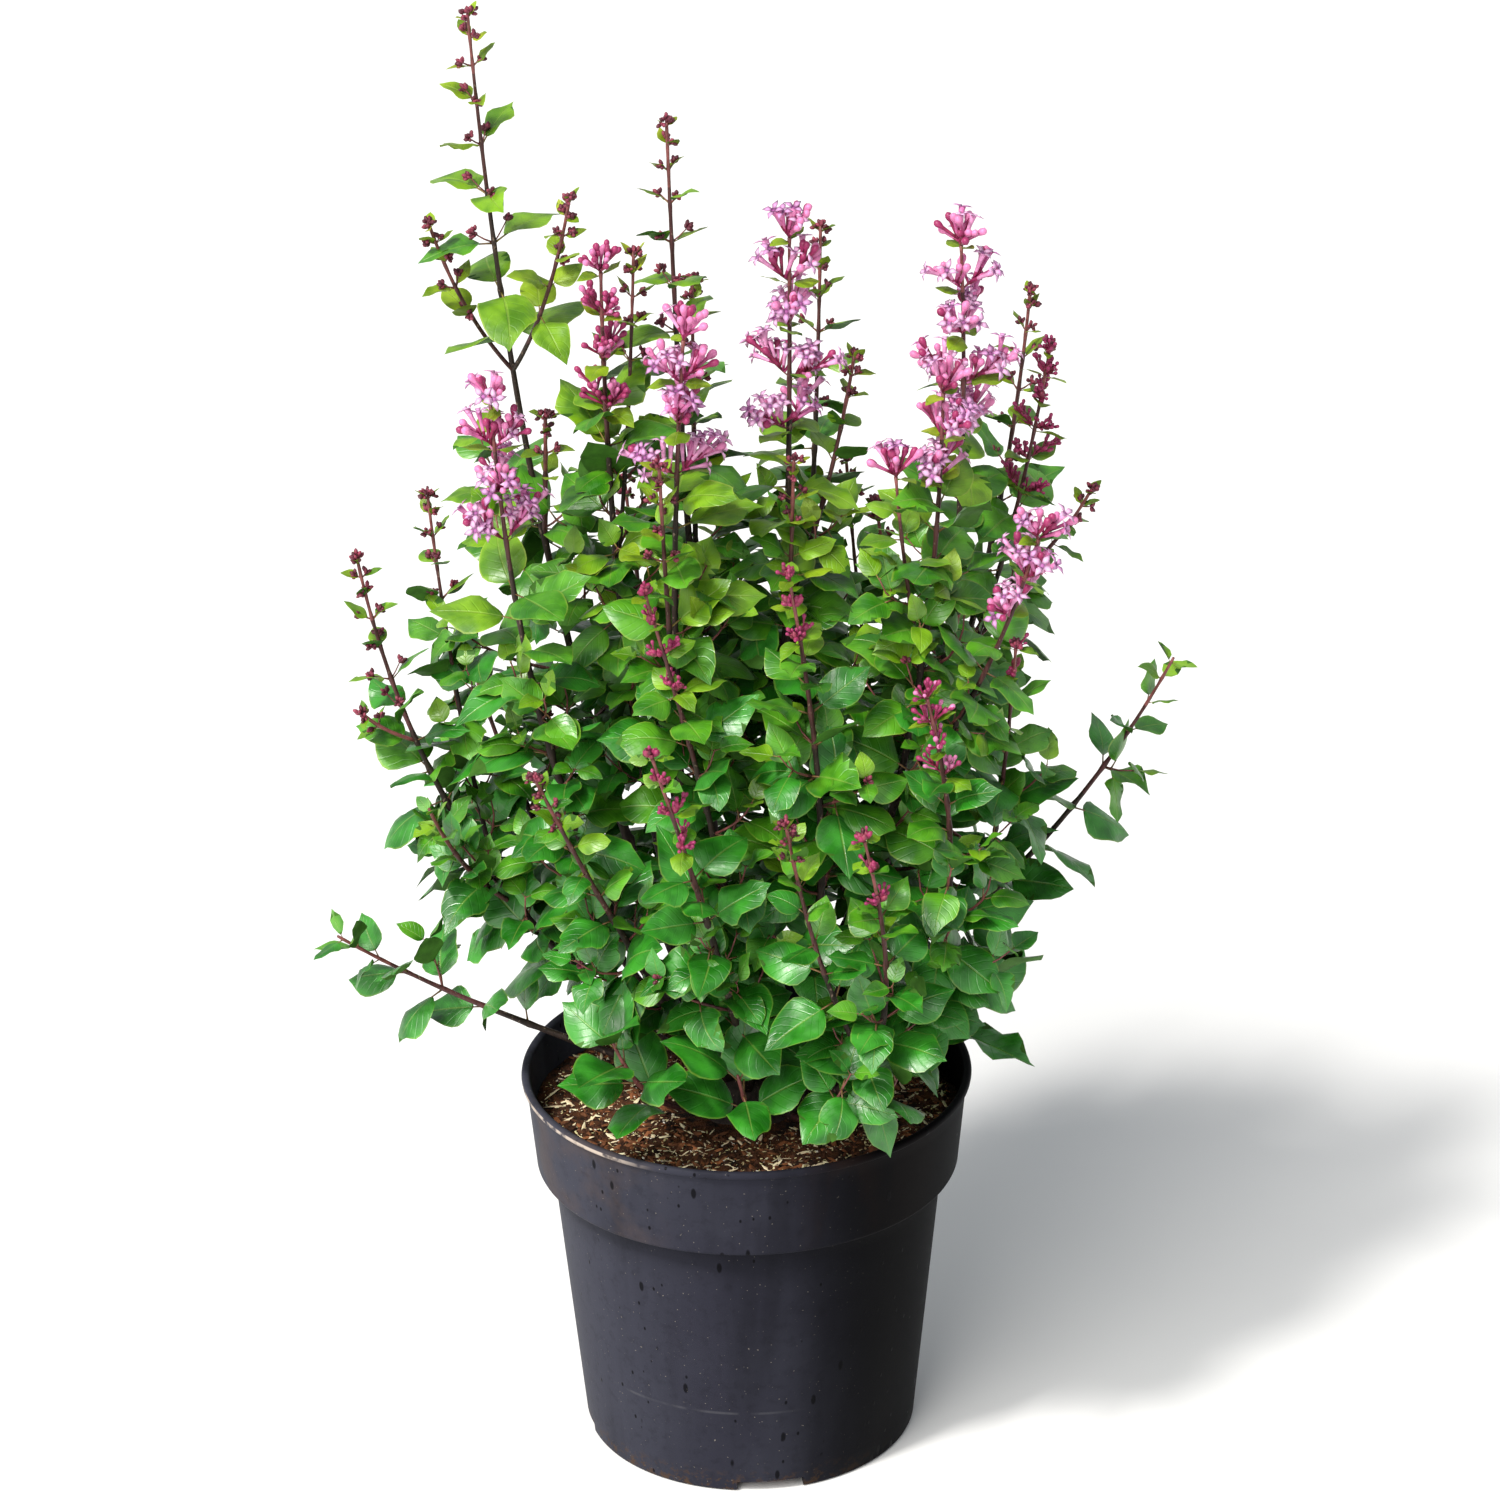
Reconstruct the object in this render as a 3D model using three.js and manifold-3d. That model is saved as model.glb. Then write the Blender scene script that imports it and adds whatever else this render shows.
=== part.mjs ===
// Potted lilac bush: a young, many-stemmed dwarf lilac in a round plastic nursery pot.
// Millimetres, +Z up. The origin is the middle of the pot's flat underside.
import * as THREE from 'three';
import { mergeVertices } from 'three/addons/utils/BufferGeometryUtils.js';
import Module from 'manifold-3d';

const wasm = await Module();
wasm.setup();

// ---------------------------------------------------------------- driving dimensions

const GAP = 0.3; // air between neighbouring solids
const HAIR = 1e-3; // points nearer than this are one point
const SLIVER = 0.03; // edges shorter than this are closed up
const TOUCH = 0.45; // nearest that a leaf may come to another mass or a bough
const SIBLING = 0.15; // and to another leaf of its own mass

const POT = {
  height: 210,
  rim: 120, // outer radius of the rolled rim
  rimDepth: 4,
  collarTop: 117.6, // outer radius of the collar just under the rim
  collar: 113, // and at its lower edge
  collarDepth: 53,
  shoulder: 104.5, // outer radius of the body just under the collar
  base: 89,
  wall: 2,
  floor: 3,
  heel: 2, // rounding at the foot of the wall
  step: 2, // height of the collar's stepped lower edge
  lip: 1.2, // rounding of the rim
  sides: 42,
  notch: { count: 4, width: 36, height: 6, depth: 12, azimuth: -83.5 },
};

const SOIL = { level: 188, edgeDrop: 2.5, edgeWidth: 16, plain: 62, lump: 1.3 };

// The short trunk: a knuckle that stands on the soil, flared at its foot.
const TRUNK = { foot: 29, flare: 5, knuckle: 23.7, centre: 4, sides: 24, rings: 5 };

// Stem radii, thicker with height; the taper is a power of the share of the length.
const STEM = { foot: 2.6, tip: 0.75, taper: 0.8, slim: 0.88, stout: 1.12, short: 110, tall: 610 };

// How high a stem leans outward before it turns up: less for one that leans out far.
const LEAN = { lift: 0.62, loss: 0.28 };

// A fork's bend, as shares of the way from its foot to its tip, and its girth beside its stem's.
const FORK = { across: 0.65, up: 0.4, girth: 0.8 };

const BARE = { slope: 0.5, clothed: 160, least: 34, most: 190 };
const BOUGH = { sides: 5, steps: 3 };
const TWIG = { sides: 3, fewest: 3, step: 32 };

// Leaf length counts its stalk. Young leaves stand up along the stem and old ones hang.
const LEAF = {
  longest: 45,
  youngest: 12,
  growth: 9,
  width: 0.76,
  thickness: 1.1,
  fold: 0.14,
  droop: 0.12,
  leanYoung: 0.6,
  leanOld: 1.9,
  settled: 4, // pairs from the tip down to the first that hangs fully
  light: 0.8, // pull of the sky on the way its face turns
  underHead: 2.2, // size of the first pair under flowers, beside one at a plain tip
  seat: 0.3, // share of the stem's radius at which it is seated
};

// Length of stem between two leaf pairs: short at the tip, longer down the stem.
const INTERNODE = { first: 18, growth: 9, longest: 44 };

// Long shoots grow longer internodes and larger leaves.
const VIGOUR = { length: 420, least: 0.95, most: 1.5, smallLeaf: 0.85 };

// From a shoot's tip to its first tier, to its leaves, from a head to its leaves, and at its foot.
const MARGIN = { head: 5, leaves: 9, underHead: 4, foot: 6 };

// Spread of what is left to chance: angles in radians, size as a share.
const JITTER = { turn: 1.0, size: 0.24, lean: 0.5 };

// Room over the rim, inside the collar and over the soil that leaves leave free.
const CLEAR = { overRim: 1.5, inside: 14, overSoil: 2.5 };

// A head's tiers, from its tip down: the air between them and how far each stands out.
const HEADS = {
  bloom: { first: 15, growth: 2.5, shortest: 9, widening: 2.2, longest: 18, girth: 0.75 },
  buds: { first: 14, growth: 2, shortest: 6, widening: 1.4, longest: 12, girth: 0.7 },
  young: { first: 1, growth: 0, shortest: 5, widening: 0, longest: 5, girth: 0.8 },
};

// A tier's height over its node, as shares of how far it stands out.
const TIER = { low: -0.15, rise: 1.1, lift: 0.45 };

// Stems that rise from the trunk. Azimuth (degrees, 0 = +X), reach from the pot's axis and height
// over the soil place the tip. Spread is how far out the stem leans before it turns up, as a share
// of its reach, and swing (degrees) is how far round from its tip the stem leaves the trunk.
const STEMS = [
  // name, azimuth, reach, height, spread, swing, head, head length
  ['tall_left', 176, 131, 606, 1.14, -38, 'young', 150],
  ['tall_middle', 124, 61, 535, 0.7, 6, 'young', 130],
  ['spike_left', -167, 69, 484, 1.04, -30, 'buds', 85],
  ['bloom_middle_left', -113, 65, 468, 0.92, -30, 'bloom', 98],
  ['bloom_middle', 0, 27, 500, 0.98, -12, 'bloom', 105],
  ['bloom_right', 5, 113, 491, 1.15, 2, 'bloom', 130],
  ['bloom_right_low', -26, 114, 435, 0.94, 3, 'bloom', 70],
  ['outer_right', 29, 174, 430, 0.9, 5, 'young', 120],
  ['arm_right', 3, 225, 252, 0.8, 19, 'leaves', 0],
  ['arm_left_low', -176, 215, 110, 0.68, -10, 'leaves', 0],
  ['arm_left', 180, 196, 319, 0.84, 1, 'young', 100],
  ['bloom_left', -162, 130, 428, 0.91, 0, 'bloom', 113],
  ['front_left', -108, 147, 271, 0.8, 18, 'buds', 80],
  ['front_right', -67, 152, 224, 1.15, 11, 'buds', 45],
  ['front_middle_right', -76, 98, 348, 1.0, 25, 'buds', 50],
  ['front_middle_left', -118, 102, 337, 0.7, 30, 'buds', 62],
  ['front_outer_left', -135, 148, 242, 0.6, 6, 'young', 40],
  ['front_outer_right', -49, 139, 287, 1.15, 20, 'buds', 40],
  ['back_buds', 64, 100, 464, 0.74, -5, 'young', 100],
  ['back_middle', 80, 180, 235, 0.7, 0, 'leaves', 0],
  ['back_left', 112, 165, 300, 0.76, -2, 'young', 60],
  ['back_outer_left', 142, 190, 230, 0.8, 0, 'leaves', 0],
  ['back_right', 50, 195, 250, 0.8, 4, 'leaves', 0],
  ['low_front', -93, 92, 66, 0.95, 6, 'leaves', 0],
  ['low_front_right', -52, 128, 70, 0.95, -8, 'leaves', 0],
  ['low_front_left', -128, 112, 84, 0.9, 8, 'leaves', 0],
  ['low_right', -14, 134, 105, 0.9, -6, 'leaves', 0],
  ['low_back', 100, 120, 95, 0.9, 10, 'leaves', 0],
];

// Shoots that fork from a stem inside its foliage, at a share of the stem's length.
const FORKS = [
  // stem, share, azimuth, reach, height, head, head length
  ['tall_left', 0.66, 169, 158, 489, 'young', 60],
  ['tall_left', 0.66, -177, 82, 513, 'young', 55],
  ['tall_left', 0.5, 160, 105, 383, 'young', 40],
  ['tall_middle', 0.45, 106, 83, 440, 'young', 60],
  ['spike_left', 0.62, 159, 55, 476, 'young', 60],
  ['bloom_middle_left', 0.5, -116, 89, 400, 'young', 70],
  ['bloom_middle', 0.42, -47, 41, 383, 'young', 50],
  ['bloom_middle', 0.55, 18, 63, 420, 'young', 40],
  ['bloom_right', 0.42, 35, 86, 328, 'young', 50],
  ['bloom_right_low', 0.62, -40, 101, 396, 'bloom', 30],
  ['bloom_right_low', 0.42, -26, 169, 365, 'bloom', 52],
  ['outer_right', 0.45, 16, 167, 412, 'buds', 85],
  ['outer_right', 0.6, 18, 194, 328, 'young', 40],
  ['arm_right', 0.42, -23, 151, 292, 'buds', 40],
  ['arm_left', 0.45, 164, 168, 336, 'young', 60],
  ['arm_left', 0.7, -177, 197, 236, 'young', 20],
  ['arm_left', 0.4, -160, 171, 204, 'leaves', 0],
  ['front_right', 0.42, -82, 151, 236, 'young', 40],
  ['back_middle', 0.45, 96, 120, 290, 'leaves', 0],
  ['back_right', 0.5, 66, 140, 320, 'young', 40],
];

const COLOURS = {
  pot: 0x2c2e33,
  soil: 0x4a3325,
  trunk: 0x4d3b2e,
  bough: 0x43302a,
  mass: 0x4f8f2c,
};

// ---------------------------------------------------------------- small tools

const RAD = Math.PI / 180;
const UP = new THREE.Vector3(0, 0, 1);

const vec = (x, y, z) => new THREE.Vector3(x, y, z);
const around = (azimuth, radius, z) => vec(radius, 0, z).applyAxisAngle(UP, azimuth * RAD);
const mix = (a, b, t) => a + (b - a) * t;
const clamp = (value, low, high) => Math.min(high, Math.max(low, value));

// The same number from 0 to 1 for the same shoot, place on it and use, in any order of asking.
function chance(shoot, place, use) {
  let h = Math.imul(shoot + 1, 374761393);
  h ^= Math.imul(place + 1, 668265263);
  h ^= Math.imul(use + 1, 1274126177);
  h = Math.imul(h ^ (h >>> 15), 2246822519);
  h = Math.imul(h ^ (h >>> 13), 3266489917);
  return ((h ^ (h >>> 16)) >>> 0) / 4294967296;
}

function toSolid(geometry, tolerance = 1e-4) {
  const bare = geometry.clone();
  bare.deleteAttribute('normal');
  bare.deleteAttribute('uv');
  const merged = mergeVertices(bare, tolerance);
  return new wasm.Manifold(new wasm.Mesh({
    numProp: 3,
    vertProperties: new Float32Array(merged.attributes.position.array),
    triVerts: new Uint32Array(merged.index.array),
  }));
}

function toGeometry(solid) {
  const mesh = solid.getMesh();
  const geometry = new THREE.BufferGeometry();
  geometry.setAttribute('position', new THREE.BufferAttribute(mesh.vertProperties, 3));
  geometry.setIndex(new THREE.BufferAttribute(mesh.triVerts, 1));
  geometry.computeVertexNormals();
  return geometry;
}

// One solid from many: a scrap that hangs by less than a hair is dropped.
function fuse(geometries) {
  const whole = wasm.Manifold.union(geometries.map((geometry) => toSolid(geometry))).simplify(SLIVER);
  const pieces = toSolid(toGeometry(whole), HAIR).decompose().sort((a, b) => b.volume() - a.volume());
  return toGeometry(pieces[0]);
}

function moveVertices(geometry, place) {
  const points = geometry.attributes.position;
  for (let i = 0; i < points.count; i += 1) {
    const moved = place(points.getX(i), points.getY(i), points.getZ(i));
    points.setXYZ(i, moved.x, moved.y, moved.z);
  }
  return geometry;
}

// ---------------------------------------------------------------- pot, soil and trunk

// A lathe profile goes from the axis, out and round, and back to the axis.
function turned(profile, sides) {
  const points = profile.map(([radius, z]) => new THREE.Vector2(radius, z));
  return new THREE.LatheGeometry(points, sides).rotateX(Math.PI / 2);
}

// Outer radius of the pot's body below the collar.
const bodyRadius = (z) => mix(POT.base, POT.shoulder, z / (POT.height - POT.collarDepth));

function potGeometry() {
  const { height, rim, rimDepth, collarTop, collar, collarDepth, shoulder, base, notch } = POT;
  const { wall, floor, heel, step, lip } = POT;
  const ledge = height - collarDepth;
  const shell = turned([
    [0, 0],
    [base - 0.75 * heel, 0],
    [bodyRadius(heel), heel],
    [shoulder, ledge],
    [collar - step / 2, ledge + 0.3 * step],
    [collar, ledge + step],
    [collarTop, height - rimDepth],
    [rim, height - rimDepth + 0.8],
    [rim, height - 1],
    [rim - lip, height],
    [collarTop - wall, height - 0.8],
    [collar - wall, ledge + wall + step],
    [shoulder - wall, ledge + wall],
    [bodyRadius(floor) - wall, floor],
    [0, floor],
  ], POT.sides);
  let solid = toSolid(shell);
  for (let i = 0; i < notch.count; i += 1) {
    const cutter = new THREE.BoxGeometry(2 * notch.depth, notch.width, 2 * notch.height);
    cutter.translate(base, 0, 0).rotateZ((notch.azimuth + (360 / notch.count) * i) * RAD);
    solid = solid.subtract(toSolid(cutter));
  }
  return toGeometry(solid);
}

function soilGeometry() {
  const { height, collar, collarDepth, shoulder, wall, floor, step } = POT;
  const ledge = height - collarDepth;
  const inner = wall + GAP;
  const edge = SOIL.level - SOIL.edgeDrop;
  const slope = (POT.collarTop - collar) / (height - POT.rimDepth - ledge - step);
  const edgeRadius = collar - inner + slope * (edge - ledge - wall - step);
  const flat = TRUNK.foot + 6; // level ground for the trunk
  const ground = turned([
    [0, floor + GAP],
    [bodyRadius(floor) - inner, floor + GAP],
    [shoulder - inner, ledge + wall + GAP],
    [collar - inner, ledge + wall + step + GAP],
    [edgeRadius, edge],
    [edgeRadius - SOIL.edgeWidth, SOIL.level - 0.8],
    [SOIL.plain, SOIL.level],
    [flat, SOIL.level],
    [0, SOIL.level],
  ], POT.sides);
  // Lumps on the top, but none at the wall or under the trunk.
  return moveVertices(ground, (x, y, z) => {
    const radius = Math.hypot(x, y);
    const open = z > edge + 0.5 && radius > flat + 1;
    const lump = Math.sin(x * 0.19 + 1.3) * Math.cos(y * 0.23 - 0.6) + 0.5 * Math.sin((x - y) * 0.41);
    return vec(x, y, open ? z + SOIL.lump * lump : z);
  });
}

const trunkCentre = vec(0, 0, SOIL.level + TRUNK.centre);

function trunkGeometry() {
  const { foot, flare, knuckle, centre, sides, rings } = TRUNK;
  const ground = SOIL.level + GAP;
  const start = Math.asin((flare - centre + 1) / knuckle);
  const profile = [
    [0, ground],
    [foot, ground],
    [foot - 1.5, ground + 1.5],
    [knuckle + 0.5, ground + flare - 2],
  ];
  for (let i = 0; i <= rings; i += 1) {
    const angle = mix(start, Math.PI / 2, i / rings);
    profile.push([i === rings ? 0 : knuckle * Math.cos(angle), trunkCentre.z + knuckle * Math.sin(angle)]);
  }
  return turned(profile, sides);
}

// ---------------------------------------------------------------- shoots

// A shoot is a curve with a foot and a tip, a radius along it and a seed of its own.
function makeShoot(index, name, curve, footRadius, head, headLength) {
  const plane = curve.v1.clone().sub(curve.v0).cross(curve.v2.clone().sub(curve.v1)).normalize();
  const length = curve.getLength();
  return { index, name, curve, plane, length, footRadius, head, headLength };
}

const radiusAt = (shoot, share) => mix(shoot.footRadius, STEM.tip, share ** STEM.taper);

function frameAt(shoot, share) {
  const point = shoot.curve.getPointAt(share);
  const along = shoot.curve.getTangentAt(share);
  return { point, along, left: shoot.plane, right: shoot.plane.clone().cross(along) };
}

function stemShoot([name, azimuth, reach, height, spread, swing, head, headLength], index) {
  const tip = around(azimuth, reach, SOIL.level + height);
  const lift = LEAN.lift - LEAN.loss * spread;
  const lean = around(azimuth + swing, spread * reach, SOIL.level + lift * height);
  const out = lean.clone().sub(trunkCentre).normalize();
  const foot = trunkCentre.clone().addScaledVector(out, TRUNK.knuckle + GAP);
  const thick = STEM.foot * mix(STEM.slim, STEM.stout, (height - STEM.short) / (STEM.tall - STEM.short));
  return makeShoot(index, name, new THREE.QuadraticBezierCurve3(foot, lean, tip), thick, head, headLength);
}

function forkShoot(stems, [name, share, azimuth, reach, height, head, headLength], order) {
  const parent = stems.find((stem) => stem.name === name);
  const foot = parent.curve.getPointAt(share);
  const tip = around(azimuth, reach, SOIL.level + height);
  const lean = foot.clone().lerp(tip, FORK.across).setZ(mix(foot.z, tip.z, FORK.up));
  const thick = FORK.girth * radiusAt(parent, share);
  const curve = new THREE.QuadraticBezierCurve3(foot, lean, tip);
  return makeShoot(STEMS.length + order, name, curve, thick, head, headLength);
}

// Taller stems are bare for more of their length.
function bareShare({ length }) {
  return clamp(BARE.slope * (length - BARE.clothed), BARE.least, BARE.most) / length;
}

// A tapering limb along part of a shoot: a cylinder bent onto the shoot's curve.
function limbGeometry(shoot, from, to, sides, steps) {
  const limb = new THREE.CylinderGeometry(1, 1, 1, sides, steps);
  return moveVertices(limb, (x, y, z) => {
    const share = mix(from, to, 0.5 + y);
    const { point, left, right } = frameAt(shoot, share);
    const radius = radiusAt(shoot, share);
    return point.addScaledVector(left, x * radius).addScaledVector(right, z * radius);
  });
}

// ---------------------------------------------------------------- leaves and flowers

// A folded blade of eight faces on six points: root, tip, two edges, upper and lower midrib.
function leafGeometry(leaf) {
  const { root, along, face, length, width } = leaf;
  const side = face.clone().cross(along);
  return moveVertices(new THREE.OctahedronGeometry(1), (x, y, z) => {
    const share = (x + 1) / 2;
    const sag = share ** 2 * LEAF.droop * length;
    return root.clone()
      .addScaledVector(along, length * (y === 0 ? share : 0.5))
      .addScaledVector(side, y * width / 2)
      .addScaledVector(face, z * LEAF.thickness / 2 + Math.abs(y) * LEAF.fold * width - sag);
  });
}

// One tier of flowers or buds, threaded on its stem: two clusters that meet round the node.
function tierGeometry({ root, along, out, length, width }) {
  const side = along.clone().cross(out);
  return moveVertices(new THREE.OctahedronGeometry(1), (x, y, z) => {
    const level = length * (TIER.low + TIER.rise * (z + 1) / 2);
    const spread = Math.abs(x) * length * TIER.lift;
    return root.clone()
      .addScaledVector(out, x * length)
      .addScaledVector(side, y * width)
      .addScaledVector(along, z === 0 ? spread : level);
  });
}

// Directions at a place on a shoot, with `out` turned about the stem.
function placeAt(shoot, distance, turn) {
  const share = 1 - distance / shoot.length;
  const { point, along, left, right } = frameAt(shoot, share);
  const out = left.clone().multiplyScalar(Math.cos(turn)).addScaledVector(right, Math.sin(turn));
  return { root: point, along, out, radius: radiusAt(shoot, share) };
}

// A leaf leans out from its stem by an angle and turns its face to the light.
function leafAt(shoot, distance, turn, lean, length) {
  const { root, along, out, radius } = placeAt(shoot, distance, turn);
  const way = along.clone().multiplyScalar(Math.cos(lean)).addScaledVector(out, Math.sin(lean));
  const light = along.clone().addScaledVector(UP, LEAF.light);
  const face = light.addScaledVector(way, -light.dot(way)).normalize();
  root.addScaledVector(out, LEAF.seat * radius);
  return leafGeometry({ root, along: way, face, length, width: LEAF.width * length });
}

function tierAt(shoot, distance, turn, length, girth) {
  return tierGeometry({ ...placeAt(shoot, distance, turn), length, width: girth * length });
}

// All that grows on a shoot, from its tip down: the head's tiers, then leaf pairs crosswise.
function growth(shoot, start) {
  const parts = [];
  const head = HEADS[shoot.head];
  const add = (distance, geometry) => parts.push({ distance, geometry });
  const jitter = (order, half, use, range) => range * (chance(shoot.index, 4 * order + half, use) - 0.5);

  let distance = MARGIN.head;
  if (head) {
    const tiers = shoot.head === 'young' ? 1 : Infinity;
    for (let order = 0; order < tiers && distance < shoot.headLength; order += 1) {
      const turn = order * Math.PI / 2 + jitter(order, 0, 1, JITTER.turn);
      const length = Math.min(head.longest, head.shortest + head.widening * order);
      add(distance, tierAt(shoot, distance, turn, length, head.girth));
      distance += head.first + head.growth * order;
    }
  }
  const flowering = shoot.head === 'bloom' || shoot.head === 'buds';
  distance = flowering ? shoot.headLength + MARGIN.underHead : MARGIN.leaves;

  const vigour = clamp(shoot.length / VIGOUR.length, VIGOUR.least, VIGOUR.most);
  const eldest = LEAF.longest * mix(VIGOUR.smallLeaf, 1, vigour / VIGOUR.most);
  const youngest = LEAF.youngest * (flowering ? LEAF.underHead : 1);
  const reach = shoot.length * (1 - start) - MARGIN.foot;
  for (let order = 0; distance < reach; order += 1) {
    const length = Math.min(eldest, youngest + LEAF.growth * order);
    const lean = mix(LEAF.leanYoung, LEAF.leanOld, Math.min(1, order / LEAF.settled));
    for (let half = 0; half < 2; half += 1) {
      const turn = (order / 2 + half) * Math.PI + jitter(order, half, 1, JITTER.turn);
      const size = length * (1 + jitter(order, half, 2, JITTER.size));
      add(distance, leafAt(shoot, distance, turn, lean + jitter(order, half, 3, JITTER.lean), size));
    }
    distance += Math.min(INTERNODE.longest, INTERNODE.first + INTERNODE.growth * order) * vigour;
  }
  return parts;
}

// ---------------------------------------------------------------- keeping clear

// What one convex piece needs for the test: its points, its edges' directions and its box.
function outline(points, edges) {
  return { points, edges, box: new THREE.Box3().setFromPoints(points), middle: middleOf(points) };
}

function middleOf(points) {
  return points.reduce((sum, point) => sum.add(point), vec(0, 0, 0)).divideScalar(points.length);
}

function spindleOutline(geometry) {
  const points = mergedPoints(geometry);
  const edges = [];
  points.forEach((a, i) => points.slice(i + 1).forEach((b) => edges.push(b.clone().sub(a))));
  return outline(points, edges);
}

function mergedPoints(geometry) {
  const seen = new Map();
  const { position } = geometry.attributes;
  for (let i = 0; i < position.count; i += 1) {
    const point = new THREE.Vector3().fromBufferAttribute(position, i);
    seen.set(point.toArray().map((value) => value.toFixed(4)).join(), point);
  }
  return [...seen.values()];
}

// A limb's outlines: one prism for each of its lengths.
function limbOutlines(shoot, from, to, sides, steps) {
  const ring = (share) => {
    const { point, left, right } = frameAt(shoot, share);
    const radius = radiusAt(shoot, share);
    return Array.from({ length: sides }, (_, i) => {
      const angle = (i / sides) * 2 * Math.PI;
      return point.clone()
        .addScaledVector(left, radius * Math.sin(angle))
        .addScaledVector(right, radius * Math.cos(angle));
    });
  };
  return Array.from({ length: steps }, (_, i) => {
    const low = ring(mix(from, to, i / steps));
    const high = ring(mix(from, to, (i + 1) / steps));
    const edges = [high[0].clone().sub(low[0])];
    low.forEach((point, k) => edges.push(low[(k + 1) % sides].clone().sub(point)));
    return outline([...low, ...high], edges);
  });
}

function gapAlong(axis, a, b) {
  const spanA = spanOn(axis, a.points);
  const spanB = spanOn(axis, b.points);
  return Math.max(spanA[0] - spanB[1], spanB[0] - spanA[1]);
}

function spanOn(axis, points) {
  let low = Infinity;
  let high = -Infinity;
  for (const point of points) {
    const at = axis.dot(point);
    low = Math.min(low, at);
    high = Math.max(high, at);
  }
  return [low, high];
}

// Two convex pieces are clear when some direction shows air between them.
function clear(a, b, gap) {
  if (!a.box.clone().expandByScalar(gap).intersectsBox(b.box)) {
    return true;
  }
  if (gapAlong(a.middle.clone().sub(b.middle).normalize(), a, b) >= gap) {
    return true;
  }
  const axis = new THREE.Vector3();
  for (const [first, second] of [[a.edges, b.edges], [a.edges, a.edges], [b.edges, b.edges]]) {
    for (const p of first) {
      for (const q of second) {
        axis.crossVectors(p, q);
        if (axis.lengthSq() > 1e-3 && gapAlong(axis.normalize(), a, b) >= gap) {
          return true;
        }
      }
    }
  }
  return false;
}

// Leaves hang over the soil and pass over the rim, clear of both.
function clearOfPot({ points }) {
  return points.every((point) => {
    const inside = Math.hypot(point.x, point.y) < POT.collar - CLEAR.inside;
    const overSoil = inside && point.z > SOIL.level + SOIL.lump + CLEAR.overSoil;
    return overSoil || point.z > POT.height + CLEAR.overRim;
  });
}

// ---------------------------------------------------------------- the plant

// The stems' bare lower lengths, one bough each.
function growBoughs(stems, taken) {
  const boughs = new Map();
  for (const stem of stems) {
    const bare = bareShare(stem);
    boughs.set(stem.name, limbGeometry(stem, 0, bare, BOUGH.sides, BOUGH.steps));
    for (const prism of limbOutlines(stem, 0, bare, BOUGH.sides, BOUGH.steps)) {
      taken.push({ owner: 'bough', ...prism });
    }
  }
  return boughs;
}

// One mass on each stem: the rest of the stem, its forks, and what grows on them.
function growMasses(stems, forks, taken) {
  const masses = new Map(stems.map((stem) => [stem.name, []]));
  const wanted = [];
  for (const shoot of [...stems, ...forks]) {
    const start = stems.includes(shoot) ? bareShare(shoot) + GAP / shoot.length : 0;
    const steps = Math.max(TWIG.fewest, Math.round((shoot.length * (1 - start)) / TWIG.step));
    masses.get(shoot.name).push(limbGeometry(shoot, start, 1, TWIG.sides, steps));
    for (const prism of limbOutlines(shoot, start, 1, TWIG.sides, steps)) {
      taken.push({ owner: shoot.name, limbOf: shoot, ...prism });
    }
    growth(shoot, start).forEach((grown) => wanted.push({ shoot, ...grown }));
  }

  // The tips grow first, so the crown's outline is kept, and older leaves fill what is left.
  wanted.sort((a, b) => a.distance - b.distance);
  for (const { shoot, geometry } of wanted) {
    const owner = shoot.name;
    const chip = spindleOutline(geometry);
    const room = (other) => (other.owner === owner ? SIBLING : TOUCH);
    const free = (other) => other.limbOf === shoot || clear(chip, other, room(other));
    if (clearOfPot(chip) && taken.every(free)) {
      taken.push({ owner, ...chip });
      masses.get(owner).push(geometry);
    }
  }
  return masses;
}

// ---------------------------------------------------------------- the whole part

function node(name, geometry, colour, roughness) {
  const material = new THREE.MeshStandardMaterial({ color: colour, roughness, metalness: 0 });
  const mesh = new THREE.Mesh(geometry, material);
  mesh.name = name;
  return mesh;
}

const part = new THREE.Group();
part.name = 'potted_lilac_bush';
part.add(node('pot', potGeometry(), COLOURS.pot, 0.6));
part.add(node('soil', soilGeometry(), COLOURS.soil, 0.95));
part.add(node('trunk', trunkGeometry(), COLOURS.trunk, 0.9));

const stems = STEMS.map(stemShoot);
const forks = FORKS.map((row, order) => forkShoot(stems, row, order));
const taken = []; // the outlines of all that stands so far, each with its owner
for (const [name, geometry] of growBoughs(stems, taken)) {
  part.add(node(`bough_${name}`, geometry, COLOURS.bough, 0.85));
}
for (const [name, parts] of growMasses(stems, forks, taken)) {
  part.add(node(`mass_${name}`, fuse(parts), COLOURS.mass, 0.6));
}

export default part;
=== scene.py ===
import math
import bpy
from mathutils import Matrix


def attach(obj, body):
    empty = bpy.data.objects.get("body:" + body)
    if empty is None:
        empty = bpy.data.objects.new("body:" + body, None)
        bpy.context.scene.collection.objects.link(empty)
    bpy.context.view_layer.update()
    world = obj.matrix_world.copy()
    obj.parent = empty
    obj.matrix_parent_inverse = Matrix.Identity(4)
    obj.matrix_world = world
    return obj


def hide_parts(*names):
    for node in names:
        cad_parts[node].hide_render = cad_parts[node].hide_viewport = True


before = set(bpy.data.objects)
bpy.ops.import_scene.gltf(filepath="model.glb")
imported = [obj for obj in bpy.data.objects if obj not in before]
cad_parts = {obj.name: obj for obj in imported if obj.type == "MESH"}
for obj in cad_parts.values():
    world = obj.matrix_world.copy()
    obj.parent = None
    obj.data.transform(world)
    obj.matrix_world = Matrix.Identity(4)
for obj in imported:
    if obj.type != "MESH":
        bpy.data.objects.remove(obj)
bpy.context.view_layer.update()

from types import SimpleNamespace as Sizes

import bpy
import numpy as np
from mathutils import Matrix


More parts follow.
